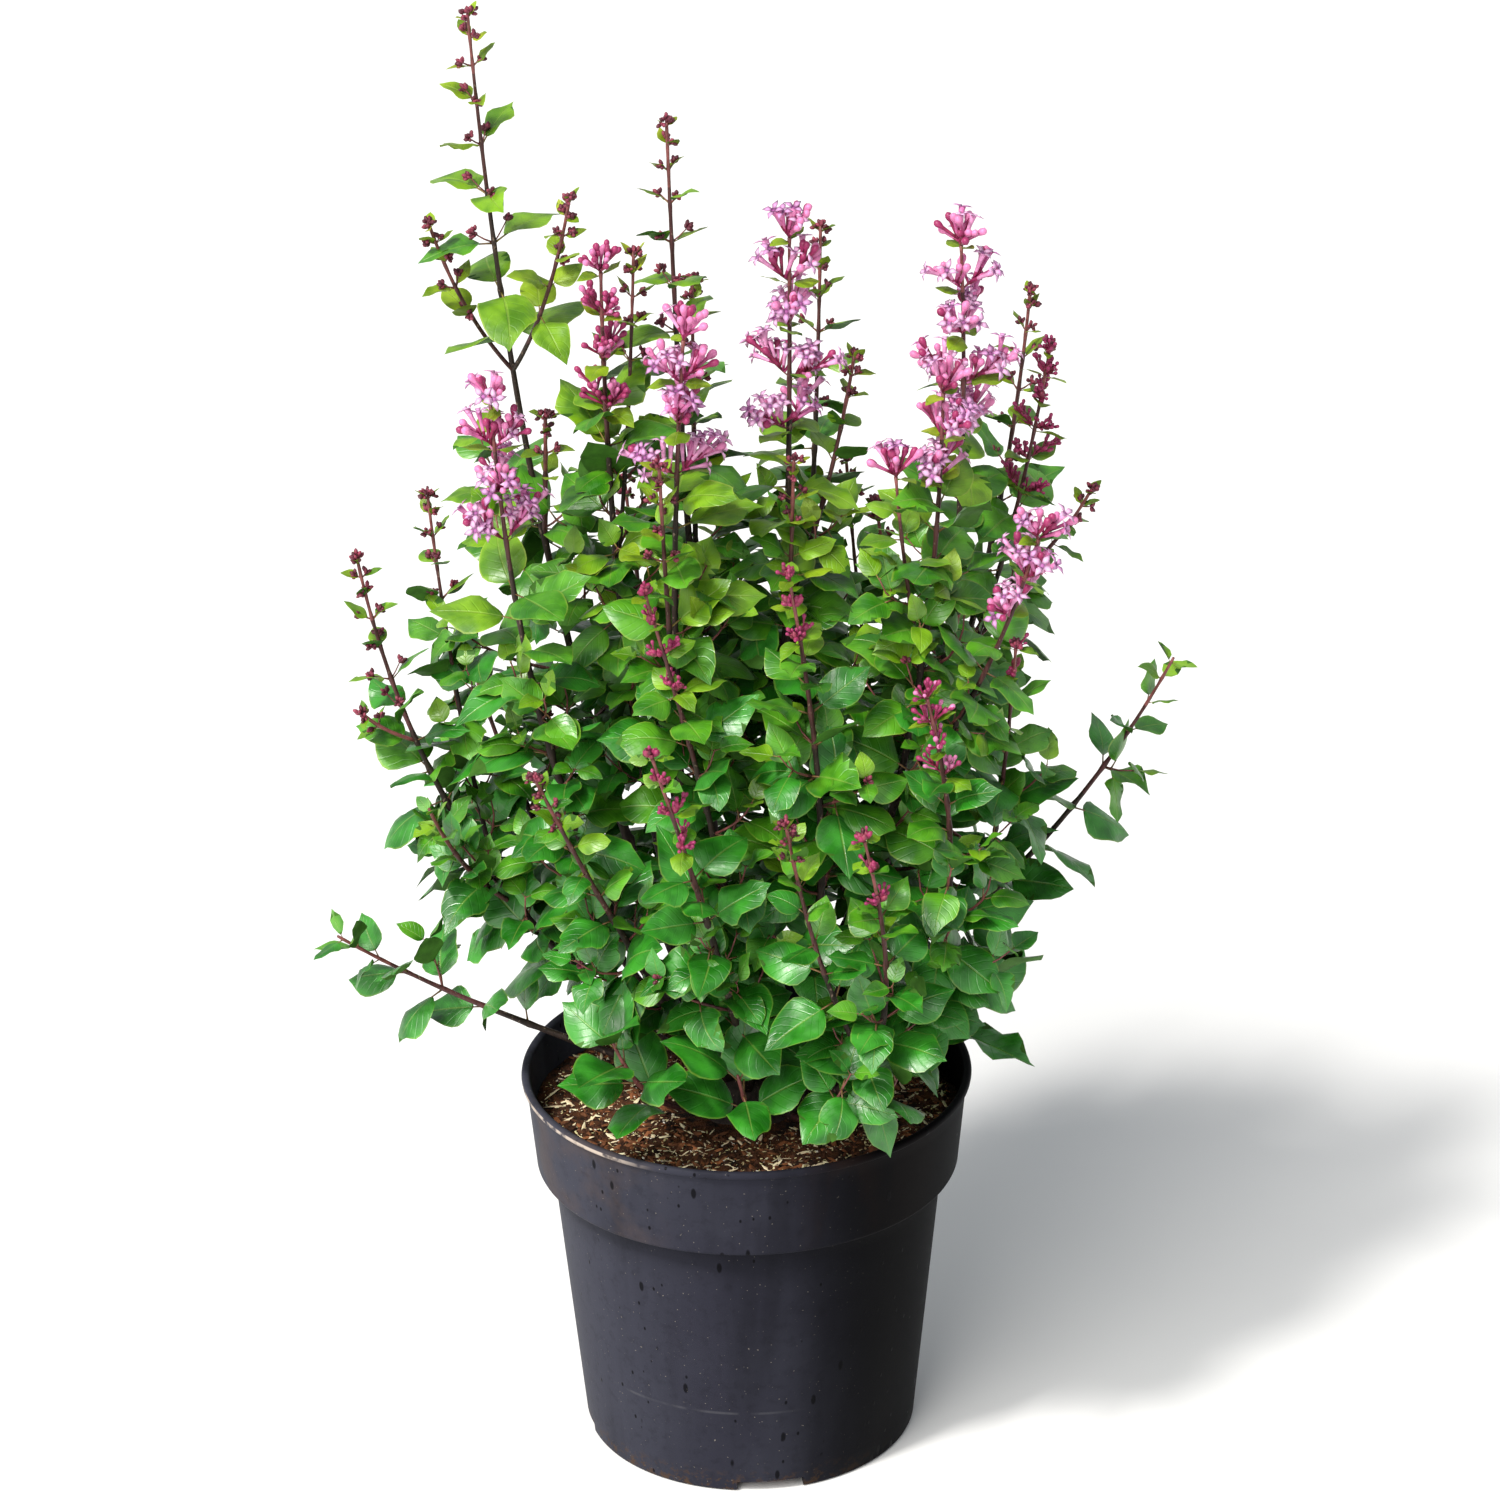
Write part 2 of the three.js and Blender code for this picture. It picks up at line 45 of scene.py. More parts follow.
def table(keys, **rows):
    """Named rows of numbers, all with the same keys."""
    return {name: Sizes(**dict(zip(keys.split(), row))) for name, row in rows.items()}


# ---- sizes, in millimetres
# The pot, the level of the soil, the trunk and the curves of the stems are those of the CAD part. The
# stems keep more of their girth here, and five heads have other lengths.

MM = 0.001
GAP = 0.3  # from the trunk to the foot of each stem

POT = Sizes(height=210, collar_depth=53, base=89, shoulder=104.5, collar=113, collar_top=117.6, rim=120,
            wall=2, floor=3, sides=160, notches=4, notch_width=36, notch_height=6, notch_depth=12,
            notch_edge=0.6, notch_azimuth=-83.5)
SOIL = Sizes(level=188, edge_drop=2.5, edge_radius=113.2, lump=1.6, rings=46, sides=132)
TRUNK = Sizes(foot=29, flare=5, knuckle=23.7, centre=4, rows=9, sides=40)
STEM = Sizes(foot=2.6, tip=0.75, taper=1.25, slim=0.88, stout=1.12, short=110, tall=610, sides=6, step=5)
LEAN = Sizes(lift=0.62, loss=0.28)
FORK = Sizes(across=0.65, up=0.4, girth=0.8)
BARE = Sizes(slope=0.5, clothed=160, least=34, most=190)
LIMB = Sizes(knob=0.38, knob_length=2.2, swell_length=7, rough=0.05)
# A bough adds these shares of its stem's length below and beyond the bare run, and swells at its foot.
BOUGH = Sizes(below=0.002, beyond=0.004, sides=12, step=2.2, swell=0.7)

# About half the CAD part's internodes, and leaves of their true size. A leaf is old this far from its
# shoot's tip, and those near the tip of a budded shoot are smaller.
INTERNODE = Sizes(first=9, growth=3.4, longest=22)
LEAF = Sizes(longest=43, width=0.63, young_width=0.55, stalk=0.15, lean_young=0.8, settled=170,
             light=0.95, outward=0.5, young=10, grown=28, droop=0.32, ageing=0.5, fold=0.42,
             young_fold=0.6, curl=0.47, wavy=0.07, young_wavy=0.03, waves=1.4, thick=0.012, thinnest=0.12,
             old=260, tip_size=0.78, tip=130)
# How far the leaves stray from that: the whole width of the spread of each measure.
STRAY = Sizes(face=0.65, width=0.2, point=0.3, bend=0.9, fold=0.5, curl=0.4, wavy=1.0, waves=0.7,
              twist=0.6, tone=1.1)
# How deep a leaf's green is: the least, then what its size adds, and the deeper green painted low in the
# crown as its shade.
GREEN = Sizes(least=0.17, size=0.35, small=9, large=32, shade=0.5, light=600, dark=260)
VIGOUR = Sizes(length=420, least=0.95, most=1.5, small_leaf=0.85)
JITTER = Sizes(turn=1.0, size=0.3, lean=0.7)
TWIG = Sizes(shortest=12, growth=0.26, longest=86, step=9, internode=14, widening=4, leaf=18,
             leaf_growth=0.7, leaf_longest=39, lean_old=1.35, settled=45, tip=0.35, thinnest=0.4,
             thickest=1.1, budded=30, bud_share=0.22, sides=4)
SPRAY = Sizes(foot=0.5, tip=0.35, sag=0.08, sides=4, step=5)
# The small leaves under a head's branches.
HEAD_LEAF = Sizes(share=0.85, size=11.5, growth=0.135, stray=4, lean=1.25, lean_stray=0.4, age=0.15)
# What share of a bloom's flowers are open, from its top tier to its fourth. What share of a bud head's
# buds are small closed ones, in its top tier and more in each tier below; in a dense head, half of
# them are to begin with.
RIPE = Sizes(top=0.25, low=0.62, tiers=3)
SMALL = Sizes(top=0.12, more=0.14, dense=0.5)

# How a stem grows: its youngest leaf and how fast leaves lengthen down it, how far below its head
# twigs start and what share of its leaves have one, how far apart its leaf pairs are, how much of it
# they clothe, how far old leaves lean, and how its largest leaf compares with other stems'.
HABITS = table(
    "youngest growth clear twigs internode leafy lean_old largest",
    tall=(10, 0.25, 125, 0.85, 0.88, 1.0, 1.36, 1),
    shrub=(10, 0.25, 60, 0.82, 0.88, 1.0, 1.36, 1),
    flowering=(16, 0.24, 48, 0.78, 0.9, 1.0, 1.36, 1),
    fork=(11, 0.26, 55, 0.45, 1.0, 0.8, 1.34, 1),
    arm=(13, 0.22, 60, 0.1, 1.45, 0.8, 1.3, 1),
    low_arm=(18, 0.3, 60, 0.1, 1.2, 0.8, 1.2, 1),
    skirt=(41, 0.3, 40, 0.2, 1.3, 0.55, 1.3, 1.2),
)

# Where a stem, by its place in the list below, has shed its leaves: from and to, from its tip.
BARE_RUNS = {0: (205, 300)}

# A head's tiers from its tip down: where the first is and the air between them, how far their
# branches stand out, and how many flowers or buds a branch has.
HEADS = table(
    "top first growth branch widening longest flowers more most",
    bloom=(12, 23, 1.6, 6, 4.5, 23, 9, 2.6, 17),
    spike=(8, 24, 1.5, 5, 3.8, 17, 12, 3, 20),
    pink=(6, 14.5, 1, 3, 1.5, 8, 7, 1, 11),
    dense=(4, 13, 1.5, 4, 2.2, 12, 12, 2, 20),
    buds=(4, 17, 2, 2.5, 1.8, 10, 9, 1.8, 17),
)

# Flowers and buds: their size, the spread of it, and what share has the deeper colour.
FLOWERS = table(
    "size spread deep",
    open=(1.18, 0.25, 0.35),
    closed=(1.04, 0.3, 0.4),
    spike=(0.8, 0.3, 0.6),
    pink=(0.62, 0.3, 0.6),
    small=(0.5, 0.2, 1),
    young=(1.3, 0.6, 0.6),
    cluster=(0.95, 0.4, 0.55),
)

# name, azimuth, reach, height over the soil, spread, swing, head, head length
STEMS = [
    ("tall_left", 176, 131, 606, 1.14, -38, "young", 150),
    ("tall_middle", 124, 61, 535, 0.7, 6, "young", 130),
    ("spike_left", -167, 69, 484, 1.04, -30, "spike", 86),
    ("bloom_middle_left", -113, 65, 468, 0.92, -30, "bloom", 98),
    ("bloom_middle", 0, 27, 500, 0.98, -12, "bloom", 126),
    ("bloom_right", 5, 113, 491, 1.15, 2, "bloom", 130),
    ("bloom_right_low", -26, 114, 435, 0.94, 3, "bloom", 70),
    ("outer_right", 29, 174, 430, 0.9, 5, "young", 120),
    ("arm_right", 3, 225, 252, 0.8, 19, "leaves", 0),
    ("arm_left_low", -176, 215, 110, 0.68, -10, "leaves", 0),
    ("arm_left", 180, 196, 319, 0.84, 1, "young", 100),
    ("bloom_left", -162, 130, 428, 0.91, 0, "bloom", 113),
    ("front_left", -108, 147, 271, 0.8, 18, "buds", 80),
    ("front_right", -67, 152, 224, 1.15, 11, "buds", 45),
    ("front_middle_right", -76, 98, 348, 1.0, 25, "buds", 50),
    ("front_middle_left", -118, 102, 337, 0.7, 30, "buds", 62),
    ("front_outer_left", -135, 148, 242, 0.6, 6, "young", 40),
    ("front_outer_right", -49, 139, 287, 1.15, 20, "pink", 54),
    ("back_buds", 64, 100, 464, 0.74, -5, "young", 100),
    ("back_middle", 80, 180, 235, 0.7, 0, "leaves", 0),
    ("back_left", 112, 165, 300, 0.76, -2, "young", 60),
    ("back_outer_left", 142, 190, 230, 0.8, 0, "leaves", 0),
    ("back_right", 50, 195, 250, 0.8, 4, "leaves", 0),
    ("low_front", -93, 92, 66, 0.95, 6, "leaves", 0),
    ("low_front_right", -52, 128, 70, 0.95, -8, "leaves", 0),
    ("low_front_left", -128, 112, 84, 0.9, 8, "leaves", 0),
    ("low_right", -14, 134, 105, 0.9, -6, "leaves", 0),
    ("low_back", 100, 120, 95, 0.9, 10, "leaves", 0),
]

# stem, share of its length, azimuth, reach, height, head, head length
FORKS = [
    ("tall_left", 0.66, 169, 158, 489, "young", 60),
    ("tall_left", 0.66, -177, 82, 513, "young", 55),
    ("tall_left", 0.5, 160, 105, 383, "young", 40),
    ("tall_middle", 0.45, 106, 83, 440, "young", 60),
    ("spike_left", 0.62, 159, 55, 476, "young", 60),
    ("bloom_middle_left", 0.5, -116, 89, 400, "young", 70),
    ("bloom_middle", 0.42, -47, 41, 383, "young", 50),
    ("bloom_middle", 0.55, 18, 63, 420, "young", 40),
    ("bloom_right", 0.42, 35, 86, 328, "young", 50),
    ("bloom_right_low", 0.62, -40, 101, 396, "bloom", 30),
    ("bloom_right_low", 0.42, -26, 169, 365, "bloom", 77),
    ("outer_right", 0.45, 16, 167, 412, "dense", 95),
    ("outer_right", 0.6, 18, 194, 328, "young", 40),
    ("arm_right", 0.42, -23, 151, 292, "buds", 40),
    ("arm_left", 0.45, 164, 168, 336, "young", 60),
    ("arm_left", 0.7, -177, 197, 236, "young", 20),
    ("arm_left", 0.4, -160, 171, 204, "leaves", 0),
    ("front_right", 0.42, -82, 151, 236, "young", 40),
    ("back_middle", 0.45, 96, 120, 290, "leaves", 0),
    ("back_right", 0.5, 66, 140, 320, "young", 40),
]

# The stems whose leaves make one piece.
GROUPS = dict(
    left="tall_left arm_left arm_left_low bloom_left spike_left",
    middle="tall_middle bloom_middle bloom_middle_left back_buds",
    right="bloom_right bloom_right_low outer_right arm_right",
    front="front_left front_right front_middle_right front_middle_left front_outer_left front_outer_right",
    low="low_front low_front_right low_front_left low_right low_back",
    back="back_middle back_left back_outer_left back_right",
)

# ---- small tools

UP = np.array([0.0, 0.0, 1.0])
WORD = 0xFFFFFFFF
PRIMES = (374761393, 668265263, 1274126177)
FULL_TURN = 6.28  # close enough for a turn drawn at random


def mix(a, b, t):
    return a + (b - a) * t


def clamp(value, low, high):
    return min(high, max(low, value))


def unit(v):
    return v / np.linalg.norm(v)


def around(azimuth, radius, z):
    angle = math.radians(azimuth)
    return np.array([radius * math.cos(angle), radius * math.sin(angle), z])


def circle(sides):
    return 2 * math.pi * np.arange(sides) / sides


def spoke(angle):
    """Level directions at an angle: out from the axis, and across."""
    out = np.array([math.cos(angle), math.sin(angle), 0])
    return out, np.array([-out[1], out[0], 0])


def scrambled(h):
    """A whole number, or an array of them, turned into one that looks random."""
    h = (h ^ (h >> 15)) * 2246822519 & WORD
    h = (h ^ (h >> 13)) * 3266489917 & WORD
    return h ^ (h >> 16)


def chance(shoot, place, use):
    """The same number from 0 to 1 for the same shoot, place on it and use, as in the CAD part."""
    a, b, c = ((value + 1) * prime & WORD for value, prime in zip((shoot, place, use), PRIMES))
    return scrambled(a ^ b ^ c) / 2 ** 32


class Luck:
    """A shoot's own run of chances."""

    def __init__(self, shoot):
        self.shoot = shoot
        self.place = 0

    def share(self):
        self.place += 1
        return chance(self.shoot, self.place, 7)

    def spread(self, width):
        return width * (self.share() - 0.5)

    def direction(self):
        z = self.spread(2)
        angle = 2 * math.pi * self.share()
        ring = math.sqrt(max(0, 1 - z * z))
        return np.array([ring * math.cos(angle), ring * math.sin(angle), z])


def value_noise(x, y, seed):
    """Smooth noise from -1 to 1 over a plane, one lump to a unit."""
    x0, y0 = np.floor(x).astype(int), np.floor(y).astype(int)
    fx, fy = x - x0, y - y0
    fx, fy = fx * fx * (3 - 2 * fx), fy * fy * (3 - 2 * fy)
    shift = 4096  # keeps the numbers of the cells above 0

    def corner(i, j):
        h = (i + shift) * PRIMES[0] + (j + shift) * PRIMES[1] + seed * PRIMES[2]
        return scrambled(h & WORD) / 2 ** 31 - 1

    low = mix(corner(x0, y0), corner(x0 + 1, y0), fx)
    high = mix(corner(x0, y0 + 1), corner(x0 + 1, y0 + 1), fx)
    return mix(low, high, fy)


# ---- meshes from arrays


class Sheaf:
    """Gathers many small closed shapes into one joined mesh."""

    def __init__(self):
        self.points, self.loops, self.sizes, self.slots, self.uvs, self.edges = [], [], [], [], [], []
        self.count = 0

    def add(self, points, loops, sizes, slots, uvs=None, edges=None):
        """Points (n, 3); corners of all faces in turn; corners in each face; material of each face."""
        self.points.append(points)
        self.loops.append(np.asarray(loops) + self.count)
        self.sizes.append(np.asarray(sizes))
        self.slots.append(np.asarray(slots))
        self.uvs.append(np.zeros((len(points), 2)) if uvs is None else uvs)
        self.edges.append(np.zeros(len(points), bool) if edges is None else edges)
        self.count += len(points)

    def build(self, name, materials=(), smooth=True):
        """One object of all the shapes; an edge with both ends on a border is sharp."""
        points, loops, sizes = (np.concatenate(part) for part in (self.points, self.loops, self.sizes))
        mesh = bpy.data.meshes.new(name)
        mesh.vertices.add(len(points))
        mesh.vertices.foreach_set("co", (points * MM).astype(np.float32).ravel())
        mesh.loops.add(len(loops))
        mesh.loops.foreach_set("vertex_index", loops.astype(np.int32))
        mesh.polygons.add(len(sizes))
        mesh.polygons.foreach_set("loop_start", (np.cumsum(sizes) - sizes).astype(np.int32))
        mesh.polygons.foreach_set("material_index", np.concatenate(self.slots).astype(np.int32))
        mesh.polygons.foreach_set("use_smooth", np.full(len(sizes), smooth))
        mesh.update(calc_edges=True)
        uvs = mesh.uv_layers.new(name="UVMap")
        uvs.data.foreach_set("uv", np.concatenate(self.uvs)[loops].astype(np.float32).ravel())
        border = np.concatenate(self.edges)
        if border.any():
            ends = np.empty(2 * len(mesh.edges), np.int32)
            mesh.edges.foreach_get("vertices", ends)
            sharp = border[ends].reshape(-1, 2).all(axis=1)
            mesh.attributes.new("sharp_edge", "BOOLEAN", "EDGE").data.foreach_set("value", sharp)
        for material in materials:
            mesh.materials.append(material)
        mesh.validate()
        piece = bpy.data.objects.new(name, mesh)
        bpy.context.collection.objects.link(piece)
        return piece


def strip_faces(rows, columns):
    """Quads round a tube of points that are counted row by row."""
    row = np.arange(rows - 1)[:, None]
    column = np.arange(columns)[None, :]
    a, b = row * columns + column, row * columns + (column + 1) % columns
    return np.stack([a, b, b + columns, a + columns], axis=-1).reshape(-1, 4)


def add_turned(sheaf, rings, slots=None):
    """A closed skin over rings of points, an array (rings, sides, 3), with a cap at each end."""
    count, sides = rings.shape[:2]
    slots = np.zeros(count, int) if slots is None else np.asarray(slots)
    quads = strip_faces(count, sides)
    foot, top = np.arange(sides)[::-1], np.arange(sides) + (count - 1) * sides
    kinds = [*np.repeat(slots[:-1], sides), slots[0], slots[-1]]
    sizes = [4] * len(quads) + [sides] * 2
    sheaf.add(rings.reshape(-1, 3), np.concatenate([quads.ravel(), foot, top]), sizes, kinds)


def add_copies(sheaf, points, loops, sizes, slots, uvs=None, border=None):
    """Points (copies, n, 3) of one shape, with the same faces in each copy."""
    copies, count = points.shape[:2]
    offsets = np.arange(copies)[:, None] * count
    sheaf.add(points.reshape(-1, 3), (offsets + loops).ravel(), np.tile(sizes, copies), slots.ravel(),
              None if uvs is None else np.tile(uvs, (copies, 1)),
              None if border is None else np.tile(border, copies))


def turned_rings(profile, sides):
    """Rings about Z from (z, radius) pairs."""
    return np.array([[(r * math.cos(a), r * math.sin(a), z) for a in circle(sides)] for z, r in profile])


def finish_piece(piece, nodes=()):
    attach(piece, "root")
    if nodes:
        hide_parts(*nodes)


# ---- shoots

TRACK = np.linspace(0, 1, 201)


class Shoot:
    """A curve with a foot and a tip, a radius along it and a seed of its own."""

    def __init__(self, index, foot, lean, tip, foot_radius, tip_radius, head="leaves", head_length=0):
        self.index, self.head, self.head_length = index, head, head_length
        self.foot_radius, self.tip_radius = foot_radius, tip_radius
        self.bend = (foot, lean, tip)
        steps = np.linalg.norm(np.diff(self.point(TRACK[:, None]), axis=0), axis=1)
        self.run = np.concatenate([[0], np.cumsum(steps)])
        self.length = self.run[-1]
        self.plane = unit(np.cross(lean - foot, tip - lean))

    def point(self, t):
        foot, lean, tip = self.bend
        return (1 - t) ** 2 * foot + 2 * t * (1 - t) * lean + t * t * tip

    def radius(self, share):
        return mix(self.foot_radius, self.tip_radius, max(share, 0.0) ** STEM.taper)

    def at(self, share):
        """Point, direction along, and the two directions across, at a share of the length."""
        t = np.interp(share * self.length, self.run, TRACK)
        foot, lean, tip = self.bend
        along = unit((1 - t) * (lean - foot) + t * (tip - lean))
        return self.point(t), along, self.plane, np.cross(self.plane, along)


TRUNK_CENTRE = np.array([0, 0, SOIL.level + TRUNK.centre], float)


def stem_shoot(index, row):
    _, azimuth, reach, height, spread, swing, head, head_length = row
    tip = around(azimuth, reach, SOIL.level + height)
    lift = LEAN.lift - LEAN.loss * spread
    lean = around(azimuth + swing, spread * reach, SOIL.level + lift * height)
    foot = TRUNK_CENTRE + unit(lean - TRUNK_CENTRE) * (TRUNK.knuckle + GAP)
    share = (height - STEM.short) / (STEM.tall - STEM.short)
    thick = STEM.foot * mix(STEM.slim, STEM.stout, share)
    return Shoot(index, foot, lean, tip, thick, STEM.tip, head, head_length)


def fork_shoot(order, row, stems):
    name, share, azimuth, reach, height, head, head_length = row
    parent = stems[name]
    foot = parent.at(share)[0]
    tip = around(azimuth, reach, SOIL.level + height)
    lean = mix(foot, tip, FORK.across)
    lean[2] = mix(foot[2], tip[2], FORK.up)
    thick = FORK.girth * parent.radius(share)
    return Shoot(len(STEMS) + order, foot, lean, tip, thick, STEM.tip, head, head_length)


def bare_share(shoot):
    """Longer stems are bare for more of their length."""
    bare = BARE.slope * (shoot.length - BARE.clothed)
    return clamp(bare, BARE.least, BARE.most) / shoot.length


# Where a shoot's bark turns from dark to purple, and from purple to red, in millimetres from its tip.
BARK_AGES = (105, 38)


def add_limb(sheaf, shoot, start, end, sides, step, nodes=(), foot_swell=0.0):
    """A shoot's tapering limb, with a knob at each node and bark that turns redder to the tip."""
    rows = max(3, int(round(shoot.length * (end - start) / step)) + 1)
    rings, slots = [], []
    nodes = np.asarray(nodes, float)
    angles = -circle(sides)
    for row in range(rows):
        share = mix(start, end, row / (rows - 1))
        point, _, left, right = shoot.at(share)
        from_tip = shoot.length * (1 - share)
        radius = shoot.radius(share)
        if len(nodes):
            radius *= 1 + LIMB.knob * np.exp(-((nodes - from_tip) / LIMB.knob_length) ** 2).max()
        radius *= 1 + foot_swell * math.exp(-shoot.length * share / LIMB.swell_length)
        rough = 1 + LIMB.rough * np.sin(3 * angles + 0.9 * row + shoot.index) * np.cos(0.7 * row)
        ring = np.cos(angles)[:, None] * left + np.sin(angles)[:, None] * right
        rings.append(point + (radius * rough)[:, None] * ring)
        slots.append(sum(from_tip <= age for age in BARK_AGES))
    add_turned(sheaf, np.array(rings), slots)


# ---- leaves

# Rows from a blade's foot to its tip, its half width at each, and the lines along its upper side. The
# underside has one line, in the middle.
FINE_ROWS = (0.0, 0.05, 0.13, 0.23, 0.34, 0.46, 0.58, 0.69, 0.8, 0.9, 1.0)
FINE_HALF_WIDTHS = (0.12, 0.45, 0.76, 0.94, 1.0, 0.97, 0.86, 0.69, 0.45, 0.2, 0.0)
FINE_LINES = (-1, -0.55, 0, 0.55, 1)
SMALL_ROWS = (0.0, 0.12, 0.35, 0.62, 0.84, 1.0)
SMALL_HALF_WIDTHS = (0.16, 0.7, 1.0, 0.86, 0.45, 0.0)
SMALL_LINES = (-1, 0, 1)
SMALL_BELOW = 17  # leaves shorter than this have the small shape
BLADE, UNDERSIDE, STALK = range(3)

# Material slots of each part for each tone: five greens, then two undersides and two stalks.
SLOT_OF = np.array([[0, 1, 2, 3, 4], [5, 5, 6, 6, 6], [7, 7, 7, 8, 8]])
TONES = SLOT_OF.shape[1]


class LeafShape:
    """The points and faces of a leaf blade as shares: a closed thin shell on rows and lines."""

    def __init__(self, rows, half_widths, lines):
        upper, per_row, last = len(lines), len(lines) + 1, len(rows) - 1
        self.along = np.append(np.repeat(rows[:last], per_row), rows[last])
        self.half_width = np.append(np.repeat(half_widths[:last], per_row), 0.0)
        self.across = np.append(np.tile([*lines, 0], last), 0.0)
        self.lower = np.append(np.tile([False] * upper + [True], last), False)
        self.border = np.abs(self.across) == 1
        self.border[-1] = True
        tip = last * per_row
        loops, sizes, kinds = [], [], []
        sides = ((1, BLADE, range(upper)), (-1, UNDERSIDE, (0, upper, upper - 1)))
        for row in range(last):
            low, high = row * per_row, (row + 1) * per_row
            for order, kind, chain in sides:
                for i, j in zip(chain, chain[1:]):
                    beyond = [tip] if row == last - 1 else [high + i, high + j]
                    face = [low + i, *beyond, low + j]
                    loops += face[::order]
                    sizes.append(len(face))
                    kinds.append(kind)
        self.loops = np.array([*loops, *range(per_row)])
        self.sizes = np.array([*sizes, per_row])
        self.kinds = np.array([*kinds, UNDERSIDE])


FINE_LEAF = LeafShape(FINE_ROWS, FINE_HALF_WIDTHS, FINE_LINES)
SMALL_LEAF = LeafShape(SMALL_ROWS, SMALL_HALF_WIDTHS, SMALL_LINES)


def add_leaves(sheaf, leaves):
    """Joins leaves to a sheaf; each is a dict of its place, directions, sizes and tone."""
    for shape, chosen in (
        (FINE_LEAF, [leaf for leaf in leaves if leaf["length"] >= SMALL_BELOW]),
        (SMALL_LEAF, [leaf for leaf in leaves if leaf["length"] < SMALL_BELOW]),
    ):
        if not chosen:
            continue
        pick = {key: np.array([leaf[key] for leaf in chosen], float) for key in chosen[0]}
        tone = pick["tone"].astype(int)
        uvs = np.stack([shape.across, shape.along], axis=-1)
        slots = SLOT_OF[shape.kinds[None, :], tone[:, None]]
        add_copies(sheaf, blade_points(shape, pick), shape.loops, shape.sizes, slots, uvs, shape.border)
        add_stalks(sheaf, pick, tone)


def blade_points(shape, pick):
    """The shape's points on each leaf: bent down along it, folded, curled and waved across it."""
    column = {key: value[:, None] for key, value in pick.items() if value.ndim == 1}
    t, s, w = shape.along[None, :], shape.across[None, :], shape.half_width[None, :]
    length, stalk, bend = column["length"], column["stalk"], column["bend"]
    blade = length - stalk
    half = w ** column["point"] * column["width"] * blade / 2
    angle = bend * t + 1e-6
    run = stalk + blade * np.sin(angle) / bend
    drop = -blade * (1 - np.cos(angle)) / bend
    wave = np.sin(2 * math.pi * column["waves"] * t + column["phase"] + 1.3 * np.sign(s))
    rise = half * (column["fold"] * np.abs(s) - column["curl"] * s ** 2)
    rise = rise + column["wavy"] * blade * wave * s ** 2 * np.minimum(1, w * 1.4)
    rise = rise - np.where(shape.lower, LEAF.thick * blade + LEAF.thinnest, 0)
    x = run - rise * np.sin(angle)
    z = drop + rise * np.cos(angle)
    y = s * half + column["twist"] * t * z
    side = np.cross(pick["face"], pick["way"])
    return (pick["root"][:, None, :] + x[..., None] * pick["way"][:, None, :]
            + y[..., None] * side[:, None, :] + z[..., None] * pick["face"][:, None, :])


def add_stalks(sheaf, pick, tone):
    """A three-sided stalk from the shoot to each blade's foot."""
    way, face, length = pick["way"], pick["face"], pick["stalk"]
    side = np.cross(face, way)
    thick = np.clip(0.018 * pick["length"], 0.22, 0.6)
    rings = []
    for share, girth in ((-0.12, 1.25), (0.5, 0.9), (1.12, 0.8)):
        centre = pick["root"] + (share * length)[:, None] * way - (0.1 * thick)[:, None] * face
        for angle in (0.5, 2.6, 4.7):
            ring = math.cos(angle) * side + math.sin(angle) * face
            rings.append(centre + (girth * thick)[:, None] * ring)
    quads = strip_faces(3, 3)
    loops = np.concatenate([quads.ravel(), [2, 1, 0], [6, 7, 8]])
    sizes = np.array([4] * len(quads) + [3, 3])
    slots = np.repeat(SLOT_OF[STALK, tone][:, None], len(sizes), axis=1)
    add_copies(sheaf, np.stack(rings, axis=1), loops, sizes, slots)


# ---- flowers

# A lobe's outline and its middle: out from the throat, across, and up from the mouth.
LOBE = ((0.7, -0.8, -0.1), (2.6, -1.35, 0.75), (5.4, 0, 0.2), (2.6, 1.35, 0.75), (0.7, 0.8, -0.1))
LOBE_TOP, LOBE_LOW = (2.5, 0, 0.7), (2.5, 0, 0.1)
ASIDE = np.array([0.31, 0.52, -0.79])  # a direction that no flower points in


class Bloom:
    """One small flower shape along +Z, made of a turned part and, when it is open, lobes."""

    def __init__(self, profile, slots, sides=5):
        self.sheaf = Sheaf()
        add_turned(self.sheaf, turned_rings(profile, sides), slots)

    def lobes(self, mouth, slot):
        """Four pointed lobes round the mouth, each a closed cushion of ten triangles."""
        count = len(LOBE)
        faces = []
        for i in range(count):
            j = (i + 1) % count
            faces += [i, j, count, j, i, count + 1]
        for k in range(4):
            out, across = spoke(k * math.pi / 2)
            points = [u * out + v * across + (mouth + w) * UP for u, v, w in (*LOBE, LOBE_TOP, LOBE_LOW)]
            self.sheaf.add(np.array(points), faces, [3] * (2 * count), [slot] * (2 * count))
        return self

    def copies(self, target, flowers):
        """Joins one copy for each (root, axis, size, spin, tone)."""
        own = self.sheaf
        parts = (own.points, own.loops, own.sizes, own.slots)
        points, loops, sizes, slots = (np.concatenate(part) for part in parts)
        placed, kinds = [], []
        for root, axis, size, spin, tone in flowers:
            a = unit(np.cross(axis, ASIDE))
            b = np.cross(axis, a)
            c, s = math.cos(spin), math.sin(spin)
            x, y = c * a + s * b, c * b - s * a
            placed.append(root + size * (points[:, :1] * x + points[:, 1:2] * y + points[:, 2:] * axis))
            kinds.append(slots + tone)
        add_copies(target, np.array(placed), loops, sizes, np.array(kinds))


